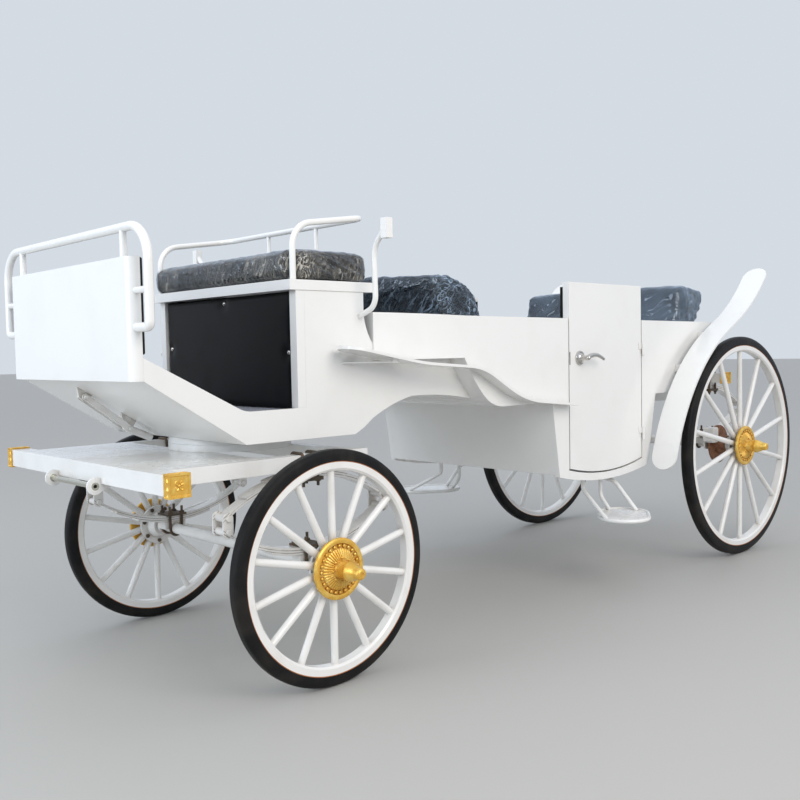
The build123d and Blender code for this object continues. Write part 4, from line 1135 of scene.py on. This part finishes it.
def wrapped(cushion, name, film, crease, depth, low_z):
    """The cushion's skin pushed out along its normals by FILM_GAP + depth·crease, open below low_z."""
    mesh = cushion.data.copy()
    points, normals = rows_of(mesh.vertices, "co"), rows_of(mesh.vertex_normals, "vector")
    out = points + normals * (FILM_GAP + depth * crease(points, normals))[:, None]
    mesh.name = name
    mesh.vertices.foreach_set("co", out.ravel())
    worked = bmesh.new()
    worked.from_mesh(mesh)
    below = [face for face in worked.faces if face.calc_center_median().z < low_z]
    bmesh.ops.delete(worked, geom=below, context="FACES")
    worked.to_mesh(mesh)
    worked.free()
    mesh.materials.clear()
    mesh.materials.append(film)
    mesh.shade_smooth()
    sheet = placed(name, mesh)
    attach(sheet, "body")
    return sheet


def driver_folds(points, normals):
    """Slanted creases on the front and the ends, few on the top, and a bunched roll at each front corner."""
    x, y, z = points.T
    side = 1 - np.abs(normals[:, 2])
    fine = folds(x, z + 0.4 * y, 0.021, 0.55, 0.35, 3)
    broad = folds(x, y, 0.10, 0.8, 0.9, 5)
    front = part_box("driver_cushion")[0].y
    roll = np.exp(-((np.abs(x) - ROLL_X) / ROLL_WIDE) ** 2) * np.exp(-((y - front) / ROLL_LONG) ** 2)
    return fine * side**0.7 + 0.8 * broad * (1 - side) + 1.2 * roll * side


def back_folds(seed):
    """Long diagonal folds over a seat back, crumpled at both ends: a function of points and normals."""
    def crease(points, normals):
        x, y, z = points.T
        round_it = z + 0.5 * y
        long_folds = folds(x, round_it, 0.085, 0.9, 0.5, seed)
        crumple = folds(y, z, 0.030, 0.5, 1.2, seed + 1)
        ends = smooth_step(0.38, 0.45, np.abs(x))
        return long_folds * (1 - ends) + 1.1 * crumple * ends
    return crease


FILMS = [
    # cushion, its folds, their depth, how far the film ends above the cushion's foot, the flat sheet it was
    # cut from, and the look of its creases: the colour of their painted highlights and reflection, and their
    # turn, how they are drawn out, how many a metre, the painted reflection, the painted white highlight
    # lines and their share in the middle
    ("driver_cushion", driver_folds, 0.0040, 0.004, (1.05, 0.50),
     (FILM_WARM_PAINTED_LIGHT, (0.0, -0.55, 0.0), (1.0, 1.0, 0.07), 60.0, 0.035, 0.5, 0.7)),
    ("front_seat_back", back_folds(11), 0.0055, 0.010, (1.20, 0.80),
     (FILM_BLUE_PAINTED_LIGHT, (0.0, -0.8, 0.0), (1.0, 0.5, 0.12), 32.0, 0.05, 0.5, 0.3)),
    ("rear_seat_back", back_folds(21), 0.0050, 0.015, (1.10, 0.90),
     (FILM_BLUE_PAINTED_LIGHT, (0.0, -1.0, 0.0), (1.0, 0.3, 0.10), 14.0, 0.17, 0.3, 0.4)),
]
for name, crease, depth, edge, flat, look in FILMS:
    film = clear_film(f"{name}_film", *look)
    sheet = wrapped(pads[name], f"{name}_film", film, crease, depth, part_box(name)[0].z + edge)

# Floor and light. A pale level floor, an even pale sky, and two broad soft lamps: a warm one at the side
# and a cool one in front.
FLOOR_GREY = (0.43, 0.42, 0.395, 1.0)
ZENITH = (0.90, 0.96, 1.05, 1.0)
HORIZON = (0.62, 0.68, 0.78, 1.0)
BACKDROP = (0.66, 0.71, 0.77, 1.0)
LAMPS = [
    # name, watts, colour, size across, place
    ("side_lamp", 215.0, (1.0, 0.92, 0.82), 4.5, (6.2, -1.6, 4.2)),
    ("front_lamp", 225.0, (0.84, 0.92, 1.0), 5.0, (-0.8, -7.2, 3.0)),
]
LAMP_AIM = (0, 0, 0.7)
FLOOR_HALF = 60.0
floor_mesh = bpy.data.meshes.new("floor")
corners = np.array([(-1, -1, 0), (1, -1, 0), (1, 1, 0), (-1, 1, 0)], float) * FLOOR_HALF
floor_mesh.from_pydata(corners.tolist(), [], [(0, 1, 2, 3)])
floor = placed("floor", floor_mesh)
floor.data.materials.append(finish_of("floor_paint", FLOOR_GREY, 0.7)[0])
world = bpy.data.worlds.new("studio")
bpy.context.scene.world = world
world.use_nodes = True
sky = world.node_tree
direction = node(sky, "ShaderNodeTexCoord").outputs["Generated"]
height = node(sky, "ShaderNodeSeparateXYZ", {"Vector": direction}).outputs["Z"]
seen = node(sky, "ShaderNodeLightPath").outputs["Is Camera Ray"]
colour = mixed(sky, seen, mixed(sky, ramp(sky, height, 0.0, 0.8), HORIZON, ZENITH), BACKDROP)
sky.links.new(colour, sky.nodes["Background"].inputs["Color"])
for name, watts, lamp_colour, size, place in LAMPS:
    lamp = placed(name, bpy.data.lights.new(name, "AREA"))
    lamp.data.shape = "DISK"
    lamp.data.size = size
    lamp.data.energy = watts
    lamp.data.color = lamp_colour
    lamp.location = place
    lamp.rotation_euler = (Vector(LAMP_AIM) - lamp.location).to_track_quat("-Z", "Y").to_euler()
bpy.context.scene.view_settings.view_transform = "Standard"

# Camera. It stands off the front left corner at chest height, a little tipped to one side.
CAMERA_PLACE = (2.8465, -3.1252, 1.0714)
CAMERA_YAW = math.radians(46.625)
CAMERA_PITCH = math.radians(3.075)
CAMERA_ROLL = math.radians(-1.109)
CAMERA_LENS = 41.285
CAMERA_SENSOR = 36.0
level = math.cos(CAMERA_PITCH)
back = Vector((math.sin(CAMERA_YAW) * level, -math.cos(CAMERA_YAW) * level, math.sin(CAMERA_PITCH)))
right = Vector((0, 0, 1)).cross(back).normalized()
up = back.cross(right)
tipped_right = right * math.cos(CAMERA_ROLL) + up * math.sin(CAMERA_ROLL)
tipped_up = up * math.cos(CAMERA_ROLL) - right * math.sin(CAMERA_ROLL)
camera = placed("camera", bpy.data.cameras.new("camera"))
camera.data.lens = CAMERA_LENS
camera.data.sensor_width = CAMERA_SENSOR
turn = Matrix((tipped_right, tipped_up, back)).transposed()
camera.matrix_world = Matrix.Translation(CAMERA_PLACE) @ turn.to_4x4()
bpy.context.scene.camera = camera
